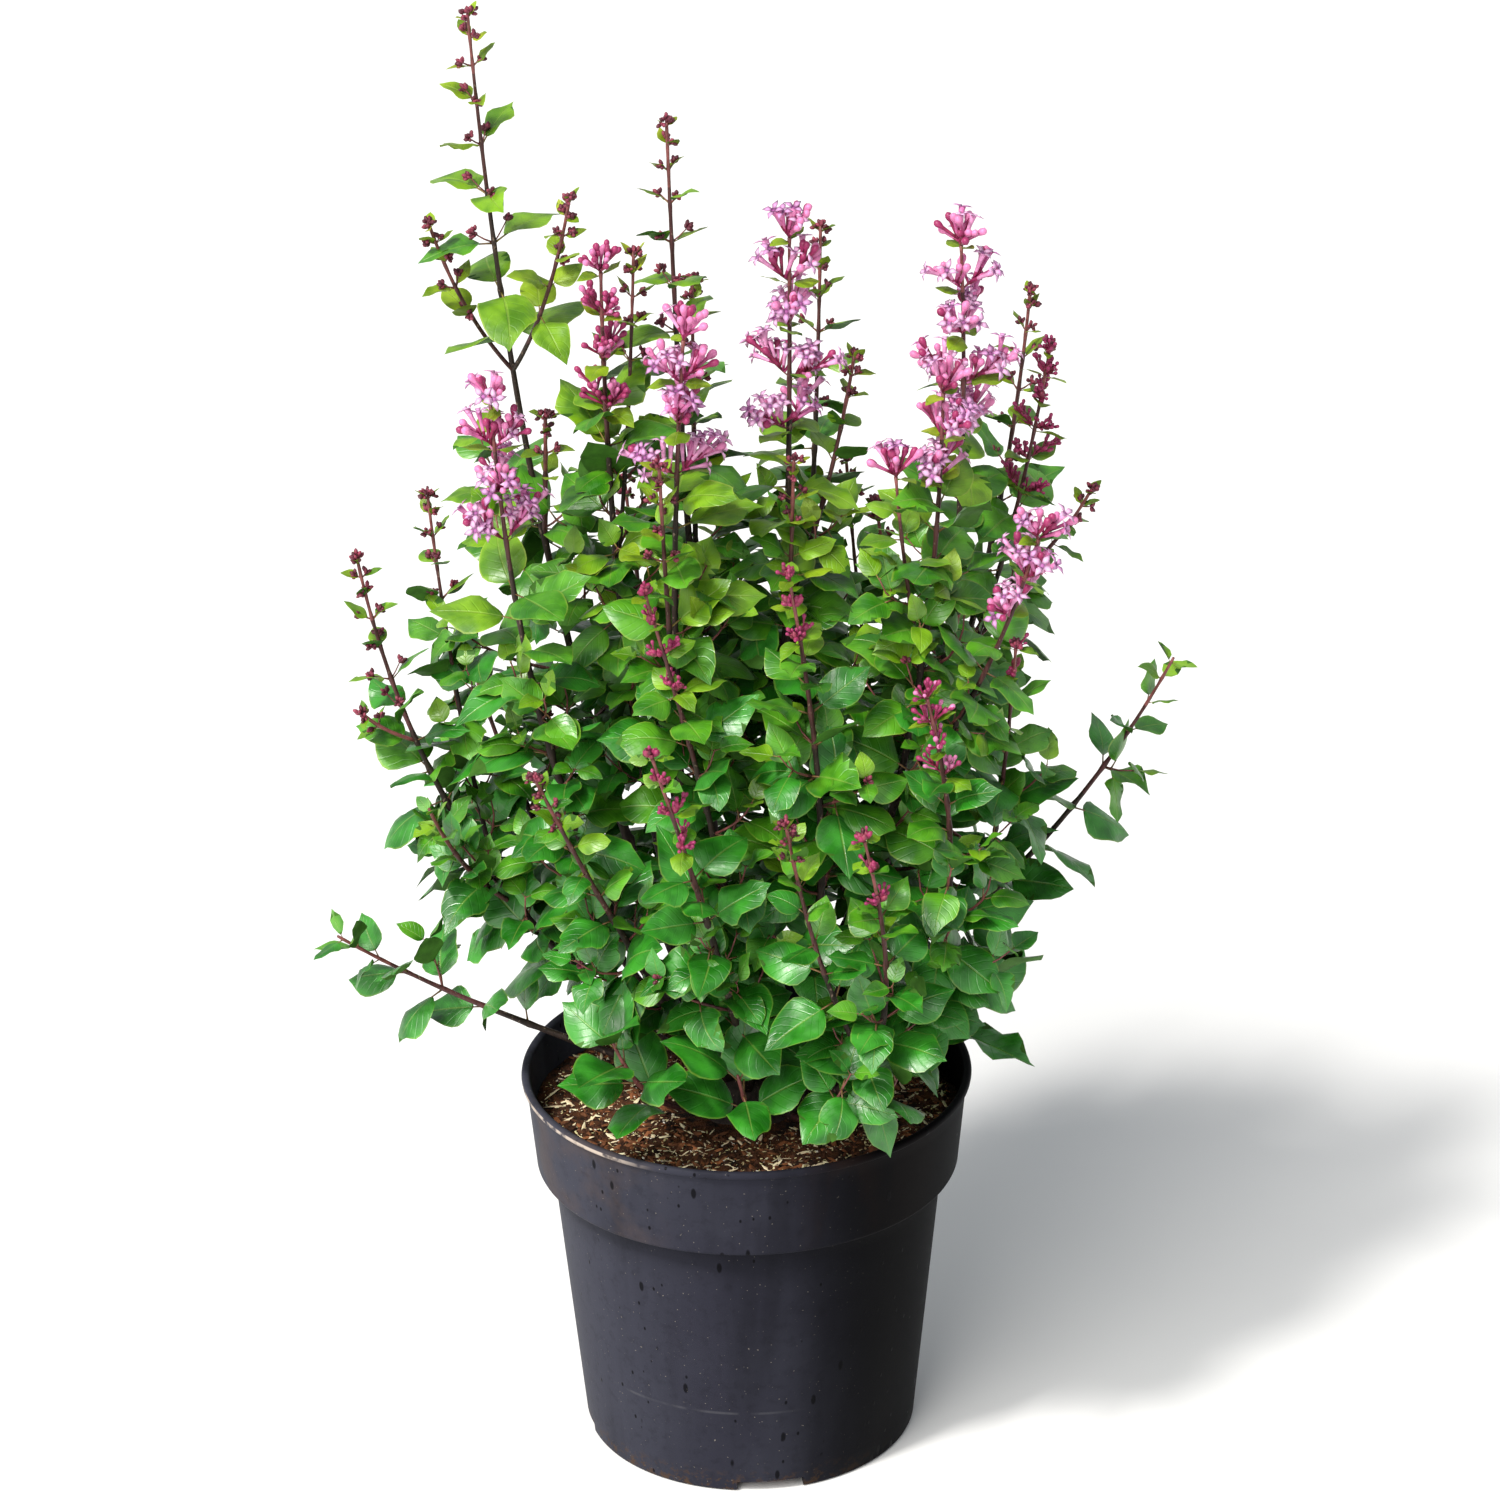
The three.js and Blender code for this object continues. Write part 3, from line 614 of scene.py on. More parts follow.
# Profiles are (height, radius). Slots come in pairs, lighter and deeper: petals, tubes, the tubes'
# feet, throats. A young bud has one slot, in one of three colours.
OPEN_FLOWER = Bloom([(0, 0.62), (3.5, 0.76), (8.4, 0.95), (12, 1.5)], [4, 2, 2, 6], 6).lobes(12.1, 0)
CLOSED_BUD = Bloom(
    [(0, 0.6), (3.5, 0.75), (9.2, 0.95), (10.5, 1.6), (12.0, 1.95), (13.4, 1.6), (14.2, 0.5)],
    [4, 2, 0, 0, 0, 0, 0], 6)
YOUNG_BUD = Bloom([(0, 0.4), (0.9, 1.0), (2.1, 1.0), (3.0, 0.3)], [0, 0, 0, 0])


# ---- what grows on a shoot

TWIG_SEEDS, SPRAY_SEEDS = 1000, 5000  # where their own seeds start


def clear_of_pot(points):
    """Leaves hang over the soil and pass over the rim, clear of both."""
    inside = np.hypot(points[:, 0], points[:, 1]) < POT.collar - 13
    over_soil = inside & (points[:, 2] > SOIL.level + 8)
    return bool(np.all(over_soil | (points[:, 2] > POT.height + 1.5)))


def green_of(point, length):
    """How deep a leaf's green is: with its size, and deeper low in the crown as painted shade."""
    size = clamp((length - GREEN.small) / (GREEN.large - GREEN.small), 0, 1)
    depth = clamp((GREEN.light - point[2]) / (GREEN.light - GREEN.dark), 0, 1)
    return GREEN.least + GREEN.size * size + GREEN.shade * depth


class Crown:
    """Gathers the leaves of each group of stems, and the twigs and flowers of the whole plant."""

    def __init__(self):
        self.leaves = {group: [] for group in GROUPS}
        self.twigs = Sheaf()
        self.flowers = dict(open_flowers=[], closed_buds=[], young_buds=[])
        self.twig_count = 0

    def leaf(self, group, point, along, out, lean, length, age, luck, radius=0.8):
        """A leaf that leans from its shoot and turns its face to the light and out of the crown."""
        way = unit(math.cos(lean) * along + math.sin(lean) * out)
        outward = point * np.array([1, 1, 0])
        outward = outward / max(60.0, np.linalg.norm(outward))
        light = along + LEAF.light * UP + LEAF.outward * outward + STRAY.face * luck.direction()
        face = light - way * np.dot(light, way)
        if np.linalg.norm(face) < 0.05:
            return
        face = unit(face)
        young = clamp(1 - (length - LEAF.young) / (LEAF.grown - LEAF.young), 0, 1)

        def aged(measure):
            return mix(getattr(LEAF, measure), getattr(LEAF, "young_" + measure), young)

        def stray(measure):
            return luck.spread(getattr(STRAY, measure))

        leaf = dict(
            root=point + out * radius * 0.7, way=way, face=face, length=length,
            stalk=LEAF.stalk * length * (0.5 + 0.5 * (1 - young)) + 0.4,
            width=aged("width") / (1 - LEAF.stalk) * (1 + stray("width")),
            point=1 + stray("point"), bend=max(0.08, LEAF.droop + LEAF.ageing * age + stray("bend")),
            fold=aged("fold") + stray("fold"), curl=LEAF.curl + stray("curl"),
            wavy=aged("wavy") * (1 + stray("wavy")), waves=LEAF.waves + stray("waves"),
            phase=luck.share() * FULL_TURN, twist=stray("twist"),
            tone=clamp(int(green_of(point, length) * TONES + stray("tone")), 0, TONES - 1),
        )
        axes = np.array([way, np.cross(face, way)])
        probe = leaf["root"] + np.array([[0.5, 0.35], [0.5, -0.35], [0.9, 0], [0.3, 0]]) @ axes * length
        probe[2] -= 0.25 * length * face
        if clear_of_pot(probe):
            self.leaves[group].append(leaf)

    def pair(self, group, shoot, distance, order, length, lean, age, luck):
        """A leaf pair at a node, crosswise to the pair before it; returns its two axils."""
        point, along, left, right = shoot.at(1 - distance / shoot.length)
        radius = shoot.radius(1 - distance / shoot.length)
        axils = []
        for half in range(2):
            turn = (order / 2 + half) * math.pi + luck.spread(JITTER.turn)
            out = math.cos(turn) * left + math.sin(turn) * right
            size = length * (1 + luck.spread(JITTER.size))
            self.leaf(group, point, along, out, lean + luck.spread(JITTER.lean), size, age, luck, radius)
            axils.append((point, along, out, radius))
        return axils

    def twig(self, group, axil, length, age, luck):
        """A side shoot from a leaf's axil, with small leaf pairs of its own."""
        point, along, out, radius = axil
        self.twig_count += 1
        index = TWIG_SEEDS + self.twig_count
        rise = unit(0.75 * along + 0.5 * UP)
        foot = point + out * radius * 0.4
        lean = foot + (0.55 * out + 0.3 * along) * length
        tip = foot + unit(0.75 * out + 0.85 * rise + 0.3 * luck.direction()) * length
        thick = clamp(TWIG.tip + 0.012 * length, TWIG.thinnest, TWIG.thickest)
        twig = Shoot(index, foot, lean, tip, thick, TWIG.tip)
        if not clear_of_pot(np.array([tip, lean])):
            return
        own = Luck(index)
        if length > TWIG.budded and own.share() < TWIG.bud_share:
            self.bud_cluster(tip, twig.at(1)[1], 3.5, 9, own)
        distance, order, nodes = 0.8, 0, []
        while distance < twig.length - 3:
            size = min(TWIG.leaf_longest, TWIG.leaf + TWIG.leaf_growth * distance)
            lean = mix(LEAF.lean_young, TWIG.lean_old, min(1, distance / TWIG.settled))
            nodes.append(distance)
            leaf_age = age * mix(0.55, 1, min(1, distance / 40))
            self.pair(group, twig, distance, order, size, lean, leaf_age, own)
            distance += TWIG.internode + TWIG.widening * order
            order += 1
        add_limb(self.twigs, twig, 0, 1, TWIG.sides, TWIG.step, nodes)

    def bud_cluster(self, point, way, size, count, luck):
        """Young buds packed round the tip of a shoot or a spray."""
        kind = FLOWERS["cluster"]
        for _ in range(count):
            axis = unit(way + 0.9 * luck.direction())
            root = point + 0.45 * size * axis * luck.share() + 0.35 * size * way * luck.spread(1)
            deep = int(luck.share() < kind.deep)
            bud = (root, axis, kind.size + luck.spread(kind.spread), FULL_TURN * luck.share(), deep)
            self.flowers["young_buds"].append(bud)

    def spray(self, foot, way, length):
        """A bare little branch that carries flowers or buds; returns its tip."""
        index = SPRAY_SEEDS + sum(len(flowers) for flowers in self.flowers.values())
        tip = foot + way * length
        lean = foot + way * length * 0.5 - UP * SPRAY.sag * length
        branch = Shoot(index, foot, lean, tip, SPRAY.foot, SPRAY.tip)
        add_limb(self.twigs, branch, 0, 1, SPRAY.sides, SPRAY.step)
        return tip

    def tier(self, head_kind, point, along, out, order, ripe, luck):
        """One branch of a tier, with its flowers fanned out along it."""
        head = HEADS[head_kind]
        length = min(head.longest, head.branch + head.widening * order) * (1 + luck.spread(0.3))
        way = unit(mix(1.1, 0.6, min(1, order / 4)) * along + out + 0.2 * luck.direction())
        tip = self.spray(point, way, length)
        count = int(min(head.most, head.flowers + head.more * order) + luck.spread(2.5))
        for k in range(count):
            share = 0.2 + 0.8 * k / max(1, count - 1)
            root = mix(point, tip, share)
            axis = unit(way * (0.45 + 0.5 * share) + 0.5 * UP + 0.78 * luck.direction())
            spin = FULL_TURN * luck.share()
            if head_kind == "bloom":
                kind = "open" if luck.share() < ripe else "closed"
            elif head_kind in ("spike", "pink"):
                kind = head_kind
            elif head_kind == "dense" and luck.share() < SMALL.dense:
                kind = "small"
            else:
                kind = "small" if luck.share() < SMALL.top + SMALL.more * order else "young"
            size = FLOWERS[kind].size + luck.spread(FLOWERS[kind].spread)
            deep = kind == "small" or luck.share() < FLOWERS[kind].deep
            piece = dict(open="open_flowers", young="young_buds").get(kind, "closed_buds")
            tone = int(deep) * (2 if kind == "young" else 1)
            self.flowers[piece].append((root, axis, size, spin, tone))

    def flower_head(self, group, shoot, luck):
        """Tiers of flowers or buds down from the tip, each two opposite branches over small leaves."""
        head = HEADS[shoot.head]
        if shoot.head in ("buds", "dense"):
            self.tip_buds(shoot, 14, luck)
        distance, order, nodes = head.top, 0, []
        while distance < shoot.head_length:
            nodes.append(distance)
            point, along, left, right = shoot.at(1 - distance / shoot.length)
            turn = order * math.pi / 2 + JITTER.turn * (chance(shoot.index, 4 * order, 1) - 0.5)
            ripe = mix(RIPE.top, RIPE.low, min(1, order / RIPE.tiers))
            for half in range(2):
                angle = turn + half * math.pi
                out = math.cos(angle) * left + math.sin(angle) * right
                self.tier(shoot.head, point, along, out, order, ripe, luck)
                if luck.share() < HEAD_LEAF.share:
                    size = HEAD_LEAF.size + HEAD_LEAF.growth * distance + luck.spread(HEAD_LEAF.stray)
                    lean = HEAD_LEAF.lean + luck.spread(HEAD_LEAF.lean_stray)
                    self.leaf(group, point - along * 1.5, along, out, lean, size, HEAD_LEAF.age, luck)
            distance += head.first + head.growth * order
            order += 1
        return nodes

    def tip_buds(self, shoot, count, luck):
        """A close cluster of young buds at a shoot's tip."""
        point, along = shoot.at(1)[:2]
        self.bud_cluster(point - 2.5 * along, along, 5, count, luck)

    def head_spray(self, axil, distance, luck):
        """A stalked cluster of young buds in a leaf's axil."""
        point, along, out, _ = axil
        length = min(11, 2.5 + 0.09 * distance) * (1 + luck.spread(0.5))
        way = unit(0.8 * along + out + 0.2 * luck.direction())
        tip = self.spray(point, way, length)
        self.bud_cluster(tip, way, 3 + 0.015 * distance, int(8 + 0.07 * distance + luck.spread(4)), luck)

    def grow(self, group, shoot, start, habit):
        """The head, the leaf pairs and the side twigs of a stem or a fork."""
        luck = Luck(shoot.index)
        flowering = shoot.head in HEADS
        nodes = self.flower_head(group, shoot, luck) if flowering else []
        vigour = clamp(shoot.length / VIGOUR.length, VIGOUR.least, VIGOUR.most)
        eldest = LEAF.longest * mix(VIGOUR.small_leaf, 1, vigour / VIGOUR.most) * habit.largest
        reach = shoot.length * min(1 - start, habit.leafy) - 4
        order = 2 if flowering else 0
        distance = shoot.head_length + 3.0 if flowering else 5.0
        budded = shoot.head == "young"
        if budded:
            self.tip_buds(shoot, 12, luck)
        bare_from, bare_to = BARE_RUNS.get(shoot.index, (0, 0))
        while distance < reach:
            if bare_from < distance < bare_to:
                distance = bare_to
            nodes.append(distance)
            age = clamp(distance / LEAF.old, 0, 1)
            length = min(eldest, habit.youngest + habit.growth * distance)
            if budded:
                length *= mix(LEAF.tip_size, 1, min(1, distance / LEAF.tip))
            lean = mix(LEAF.lean_young, habit.lean_old, min(1, distance / LEAF.settled))
            below = distance - shoot.head_length
            for axil in self.pair(group, shoot, distance, order, length, lean, age, luck):
                if budded and below < 0:
                    self.head_spray(axil, distance, luck)
                elif distance > shoot.head_length + habit.clear and luck.share() < habit.twigs:
                    size = TWIG.shortest + TWIG.growth * below
                    size = min(TWIG.longest, size * (0.55 + 0.75 * luck.share()))
                    self.twig(group, axil, size, age, luck)
            gap = min(INTERNODE.longest, INTERNODE.first + INTERNODE.growth * order)
            distance += gap * vigour * habit.internode
            order += 1
        end = 1 - (HEADS[shoot.head].top if flowering else 1.5) / shoot.length
        add_limb(self.twigs, shoot, start, end, STEM.sides, STEM.step, nodes)


# ---- materials


def linear(r, g, b):
    """A plain colour from 0-255 screen values."""
    levels = (v / 255 for v in (r, g, b))
    return tuple(v / 12.92 if v <= 10 / 255 else ((v + 0.055) / 1.055) ** 2.4 for v in levels) + (1.0,)


def shade(colour, factor):
    return tuple(clamp(v * factor, 0, 1) for v in colour[:3]) + (1.0,)


def add_node(tree, kind, inputs=None, **settings):
    """A node with its settings, and with each input linked to a socket or set to a value."""
    node = tree.nodes.new(kind)
    for key, value in settings.items():
        setattr(node, key, value)
    for key, value in (inputs or {}).items():
        if isinstance(value, bpy.types.NodeSocket):
            tree.links.new(value, node.inputs[key])
        else:
            node.inputs[key].default_value = value
    return node


class Shader:
    """A procedural material, built node by node."""

    def __init__(self, name, colour, roughness, specular):
        self.material = bpy.data.materials.new(name)
        self.material.use_nodes = True
        self.material.diffuse_color = colour
        self.tree = self.material.node_tree
        self.inputs = self.tree.nodes["Principled BSDF"].inputs
        self.inputs["Base Color"].default_value = colour
        self.inputs["Roughness"].default_value = roughness
        self.inputs["Specular IOR Level"].default_value = specular

    def node(self, kind, inputs=None, **settings):
        return add_node(self.tree, kind, inputs, **settings)

    def math(self, operation, a, b=0.0):
        return self.node("ShaderNodeMath", {0: a, 1: b}, operation=operation).outputs[0]

    def times(self, first, *factors):
        for factor in factors:
            first = self.math("MULTIPLY", first, factor)
        return first

    def coords(self, kind="Object"):
        return self.node("ShaderNodeTexCoord").outputs[kind]

    def stretched(self, *scale):
        """Object coordinates, stretched by a scale for each axis."""
        return self.node("ShaderNodeMapping", {"Vector": self.coords(), "Scale": scale}).outputs[0]

    def noise(self, scale, detail, roughness=0.55, vector=None):
        inputs = {"Vector": vector or self.coords(), "Scale": scale, "Detail": detail, "Roughness": roughness}
        return self.node("ShaderNodeTexNoise", inputs).outputs["Fac"]

    def ramp(self, factor, low, high, start=0.0, end=1.0):
        """A number that goes from start to end as the factor goes from low to high."""
        inputs = {"Value": factor, "From Min": low, "From Max": high, "To Min": start, "To Max": end}
        return self.node("ShaderNodeMapRange", inputs, interpolation_type="SMOOTHSTEP").outputs[0]

    def fade(self, factor, low, high):
        """1 below low, 0 above high."""
        return self.ramp(factor, low, high, 1.0, 0.0)

    def blend(self, factor, a, b):
        return self.node("ShaderNodeMix", {0: factor, 6: a, 7: b}, data_type="RGBA").outputs[2]

    def surface(self, colour, height, distance, strength, roughness=None):
        """Links the colour, the bump and, where it varies, the roughness; returns the material."""
        bump = {"Height": height, "Distance": distance * MM, "Strength": strength}
        self.tree.links.new(colour, self.inputs["Base Color"])
        self.tree.links.new(self.node("ShaderNodeBump", bump).outputs[0], self.inputs["Normal"])
        if roughness is not None:
            self.tree.links.new(roughness, self.inputs["Roughness"])
        return self.material


def blade_material(name, colour, bright, gloss, shine, edge):
    """A leaf's upper side: patches of tone, pale veins and margin, and a waxy shine."""
    s = Shader(name, colour, gloss, shine)
    patches = s.blend(s.ramp(s.noise(60, 2), 0.3, 0.7), shade(colour, 0.68), bright)
    split = s.node("ShaderNodeSeparateXYZ", {0: s.coords("UV")})
    across, along = s.math("ABSOLUTE", split.outputs[0]), split.outputs[1]
    row = s.times(s.math("SUBTRACT", along, s.times(across, 0.3)), 6.5)
    vein = s.fade(s.math("PINGPONG", row, 0.5), 0.0, 0.12)
    midrib = s.fade(across, 0.02, 0.06)
    margin = s.ramp(across, 0.92, 0.97)
    veined = s.blend(s.times(vein, 0.1), patches, shade(colour, 1.8))
    ribbed = s.blend(s.times(midrib, 0.27), veined, linear(160, 184, 84))
    edged = s.blend(s.times(margin, edge), ribbed, linear(184, 198, 84))
    creases = s.math("ADD", s.times(vein, -0.5), s.times(midrib, -1.3))
    gloss_patches = s.ramp(s.noise(140, 2), 0.3, 0.7, gloss - 0.06, gloss + 0.1)
    return s.surface(edged, s.math("ADD", creases, s.noise(300, 2)), 0.35, 0.6, gloss_patches)


def plain_material(name, colour, roughness, scale, contrast, specular=0.4, bump=0.12):
    """A small part's finish: soft patches of tone and a fine grain."""
    s = Shader(name, colour, roughness, specular)
    patches = s.ramp(s.noise(scale, 3), 0.3, 0.7)
    tones = s.blend(patches, shade(colour, 1 - contrast), shade(colour, 1 + contrast))
    return s.surface(tones, s.noise(scale * 4, 2), bump, 0.6)


def plain_set(roughness, scale, contrast, specular=0.4, **colours):
    """Plain materials that differ only in name and colour."""
    return [plain_material(name, linear(*colour), roughness, scale, contrast, specular)
            for name, colour in colours.items()]


def bark_material(name, colour, pores, roughness):
    """Fine bark: long shallow ridges and pale pores."""
    s = Shader(name, colour, roughness, 0.35)
    ridges = s.noise(420, 3, 0.6, s.stretched(1, 1, 0.12))
    pore = s.ramp(s.noise(560, 1, 0.4, s.stretched(1, 1, 0.6)), 0.66, 0.74)
    ridged = s.blend(s.ramp(ridges, 0.3, 0.7), shade(colour, 0.6), shade(colour, 1.5))
    pored = s.blend(s.times(pore, pores), ridged, linear(150, 128, 110))
    return s.surface(pored, s.math("ADD", ridges, s.times(pore, 0.8)), 0.5, 0.8)


# Leaf greens from the youngest to the oldest, deeper too as painted shade low in the crown: colour,
# bright patches, roughness, shine and how strong the pale margin is.
LEAF_GREENS = (
    ((122, 148, 18), (170, 186, 46), 0.42, 0.35, 0.42),
    ((106, 146, 9), (148, 181, 34), 0.41, 0.5, 0.38),
    ((88, 146, 5), (130, 179, 28), 0.4, 0.75, 0.33),
    ((48, 130, 8), (92, 164, 30), 0.39, 0.9, 0.27),
    ((26, 118, 10), (58, 150, 38), 0.38, 1.0, 0.2),
)


def leaf_materials():
    """In the order of SLOT_OF."""
    blades = [blade_material(f"leaf_green_{k}", linear(*colour), linear(*bright), *finish)
              for k, (colour, bright, *finish) in enumerate(LEAF_GREENS)]
    return (blades + plain_set(0.62, 120, 0.25, 0.2, underside_young=(112, 138, 38))
            + plain_set(0.6, 120, 0.25, 0.2, underside_old=(62, 106, 34))
            + plain_set(0.5, 120, 0.25, stalk_young=(140, 120, 62), stalk_old=(120, 92, 58)))


def flower_materials():
    tubes = dict(tube_light=(226, 154, 198), tube_pink=(208, 118, 172), tube_foot_pink=(170, 54, 108),
                 tube_foot_deep=(136, 30, 72))
    return (plain_set(0.5, 260, 0.12, petal_light=(228, 178, 216), petal_lilac=(212, 152, 202))
            + plain_set(0.48, 200, 0.2, **tubes)
            + plain_set(0.6, 120, 0.25, throat_light=(160, 90, 150), throat_pink=(140, 70, 128)))


def bud_materials():
    tubes = dict(bud_tube=(206, 106, 160), bud_tube_deep=(146, 44, 84), bud_foot=(152, 44, 92),
                 bud_foot_deep=(124, 32, 62))
    return (plain_set(0.4, 260, 0.15, bud_pink=(226, 132, 182), bud_magenta=(156, 50, 98))
            + plain_set(0.45, 260, 0.15, **tubes))


def young_bud_materials():
    return (plain_set(0.5, 300, 0.3, young_bud_red=(136, 56, 76), young_bud_purple=(92, 38, 52))
            + plain_set(0.45, 300, 0.3, young_bud_magenta=(150, 48, 88)))


def bark_materials():
    return [bark_material("bark_old", linear(50, 38, 33), 0.7, 0.62),
            bark_material("bark_purple", linear(80, 46, 46), 0.5, 0.5),
            *plain_set(0.45, 300, 0.25, bark_young=(122, 68, 66))]


# ---- the plant


def build_plant():
    stems = {row[0]: stem_shoot(index, row) for index, row in enumerate(STEMS)}
    group_of = {name: group for group, names in GROUPS.items() for name in names.split()}
    crown = Crown()
    boughs = Sheaf()
    for name, stem in stems.items():
        bare = bare_share(stem)
        add_limb(boughs, stem, -BOUGH.below, bare + BOUGH.beyond, BOUGH.sides, BOUGH.step,
                 bough_nodes(stem, bare), BOUGH.swell)
        crown.grow(group_of[name], stem, bare, habit_of(name, stem.head))
    for order, row in enumerate(FORKS):
        crown.grow(group_of[row[0]], fork_shoot(order, row, stems), 0, HABITS["fork"])
    add_trunk(boughs)
    bark = bark_materials()
    nodes = ["trunk", *(f"bough_{name}" for name in stems)]
    finish_piece(boughs.build("trunk_and_boughs", bark), nodes)
    finish_piece(crown.twigs.build("twigs", bark))
    greens = leaf_materials()
    for group, names in GROUPS.items():
        sheaf = Sheaf()
        add_leaves(sheaf, crown.leaves[group])
        masses = [f"mass_{name}" for name in names.split()]
        finish_piece(sheaf.build(f"leaves_{group}", greens), masses)
    for name, bloom, materials in (
        ("open_flowers", OPEN_FLOWER, flower_materials()),
        ("closed_buds", CLOSED_BUD, bud_materials()),
        ("young_buds", YOUNG_BUD, young_bud_materials()),
    ):
        sheaf = Sheaf()
        bloom.copies(sheaf, crown.flowers[name])
        finish_piece(sheaf.build(name, materials))


def habit_of(name, head):
    """A stem's habit, by how its name starts, or else by whether it flowers."""
    starts = dict(low="skirt", arm_left_low="low_arm", arm_right="arm", tall="tall")
    for start, habit in starts.items():
        if name.startswith(start):
            return HABITS[habit]
    return HABITS["flowering" if head in HEADS else "shrub"]


def bough_nodes(stem, bare):
    """Old leaf scars: knobs every 25 to 29 mm down the bare bough."""
    first = stem.length * (1 - bare)
    return np.arange(first + 12, stem.length - 8, 25 + 4 * chance(stem.index, 3, 3))


def add_trunk(sheaf):
    """The knuckle that the stems spring from, lumpy and flared at its foot."""
    ground, foot, knuckle = SOIL.level + 0.1, TRUNK.foot, TRUNK.knuckle
    start = math.asin((TRUNK.flare - TRUNK.centre + 1) / knuckle)
    profile = [(ground - 3, foot + 0.5), (ground + 1.2, foot - 1.5), (ground + 2.6, knuckle + 1.5)]
    for k in range(TRUNK.rows):
        angle = mix(start, 1.5, k / (TRUNK.rows - 1))
        profile.append((TRUNK_CENTRE[2] + knuckle * math.sin(angle), knuckle * math.cos(angle)))
    rings = turned_rings(profile, TRUNK.sides)
    angle, z = np.arctan2(rings[..., 1], rings[..., 0]), rings[..., 2]
    lump = 1 + 0.035 * np.sin(5 * angle + 0.4 * z) + 0.02 * np.sin(11 * angle - 0.3 * z)
    rings[..., :2] *= lump[..., None]
    add_turned(sheaf, rings)


# ---- the pot

# The collar's lower edge, out from the shoulder or in from the collar, and up from the ledge.
LEDGE_INNER = ((0.5, -0.2), (1.6, 0.15))
LEDGE_OUTER = ((1.6, 0.4), (0.5, 0.8), (0.05, 1.7))
# The rolled rim, in from its radius and down from its height.
RIM = ((0.9, 4), (0.2, 3.4), (0, 2.3), (0.2, 1.1), (0.8, 0.3), (1.7, 0), (2.9, 0.15), (3.9, 0.7))


def pot_profile():
    """(radius, height) from the middle of the underside up, over the rim and down inside."""
    height, wall, floor, base = POT.height, POT.wall, POT.floor, POT.base
    shoulder, collar, top, rim = POT.shoulder, POT.collar, POT.collar_top, POT.rim
    ledge = height - POT.collar_depth
    profile = [(0, 0), (base - 4, 0), (base - 1.6, 0), (base - 0.5, 0.5), (base + 0.1, 1.8)]
    profile += [(mix(base + 0.1, shoulder, k / 14), mix(1.8, ledge - 1, k / 14)) for k in range(1, 15)]
    profile += [(shoulder + u, ledge + v) for u, v in LEDGE_INNER]
    profile += [(collar - u, ledge + v) for u, v in LEDGE_OUTER]
    profile += [(mix(collar, top - 0.1, k / 6), mix(ledge + 2.4, height - 5, k / 6)) for k in range(7)]
    profile += [(top + 0.3, height - 4.3)] + [(rim - u, height - v) for u, v in RIM]
    profile += [(top - wall - 0.1, height - 1.7), (collar - wall, ledge + wall + 2)]
    profile += [(collar - wall - 0.6, ledge + wall + 0.8), (shoulder - wall + 0.5, ledge + wall)]
    profile += [(shoulder - wall, ledge + wall - 1), (base - wall + 0.4, floor + 2)]
    return profile + [(base - wall - 1, floor), (0, floor)]


def lathe(name, profile, sides):
    """A closed turned body; the profile's ends are single points on the axis."""
    sheaf = Sheaf()
    body = [(z, r) for r, z in profile[1:-1]]
    quads = strip_faces(len(body), sides)
    last = len(body) * sides
    turn = np.arange(sides)
    beside = (turn + 1) % sides
    low = np.stack([beside, turn, np.full(sides, last)], axis=1)
    high = np.stack([turn + last - sides, beside + last - sides, np.full(sides, last + 1)], axis=1)
    poles = np.array([[0, 0, profile[0][1]], [0, 0, profile[-1][1]]], float)
    points = np.concatenate([turned_rings(body, sides).reshape(-1, 3), poles])
    sizes = [4] * len(quads) + [3] * (2 * sides)
    sheaf.add(points, np.concatenate([quads.ravel(), low.ravel(), high.ravel()]), sizes, [0] * len(sizes))
    return sheaf.build(name)


def apply_modifiers(piece):
    """Makes the piece's modifiers final, in a plain mesh of its own."""
    graph = bpy.context.evaluated_depsgraph_get()
    mesh = bpy.data.meshes.new_from_object(piece.evaluated_get(graph))
    piece.modifiers.clear()
    old = piece.data
    piece.data = mesh
    mesh.name = piece.name
    bpy.data.meshes.remove(old)


def build_pot():
    pot = lathe("pot_shell", pot_profile(), POT.sides)
    high, half = POT.notch_height, POT.notch_width / 2
    cutters = Sheaf()
    for k in range(POT.notches):
        out, across = spoke(math.radians(POT.notch_azimuth + 360 * k / POT.notches))
        rings = [[out * (POT.base + POT.notch_depth * u) + across * (half - inset) * v + UP * z
                  for u, v in ((-1, -1), (1, -1), (1, 1), (-1, 1))]
                 for z, inset in ((-high, 0), (high - POT.notch_edge, 0), (high, POT.notch_edge))]
        add_turned(cutters, np.array(rings))
    cutter = cutters.build("notch_cutter")
    cut = pot.modifiers.new("notches", "BOOLEAN")
    cut.operation = "DIFFERENCE"
    cut.solver = "EXACT"
    cut.object = cutter
    apply_modifiers(pot)
    bpy.data.objects.remove(cutter)
    pot.data.materials.clear()
    pot.data.materials.append(pot_material())
    pot.data.polygons.foreach_set("use_smooth", np.full(len(pot.data.polygons), True))
    pot.data.set_sharp_from_angle(angle=math.radians(50))
    finish_piece(pot, ["pot"])


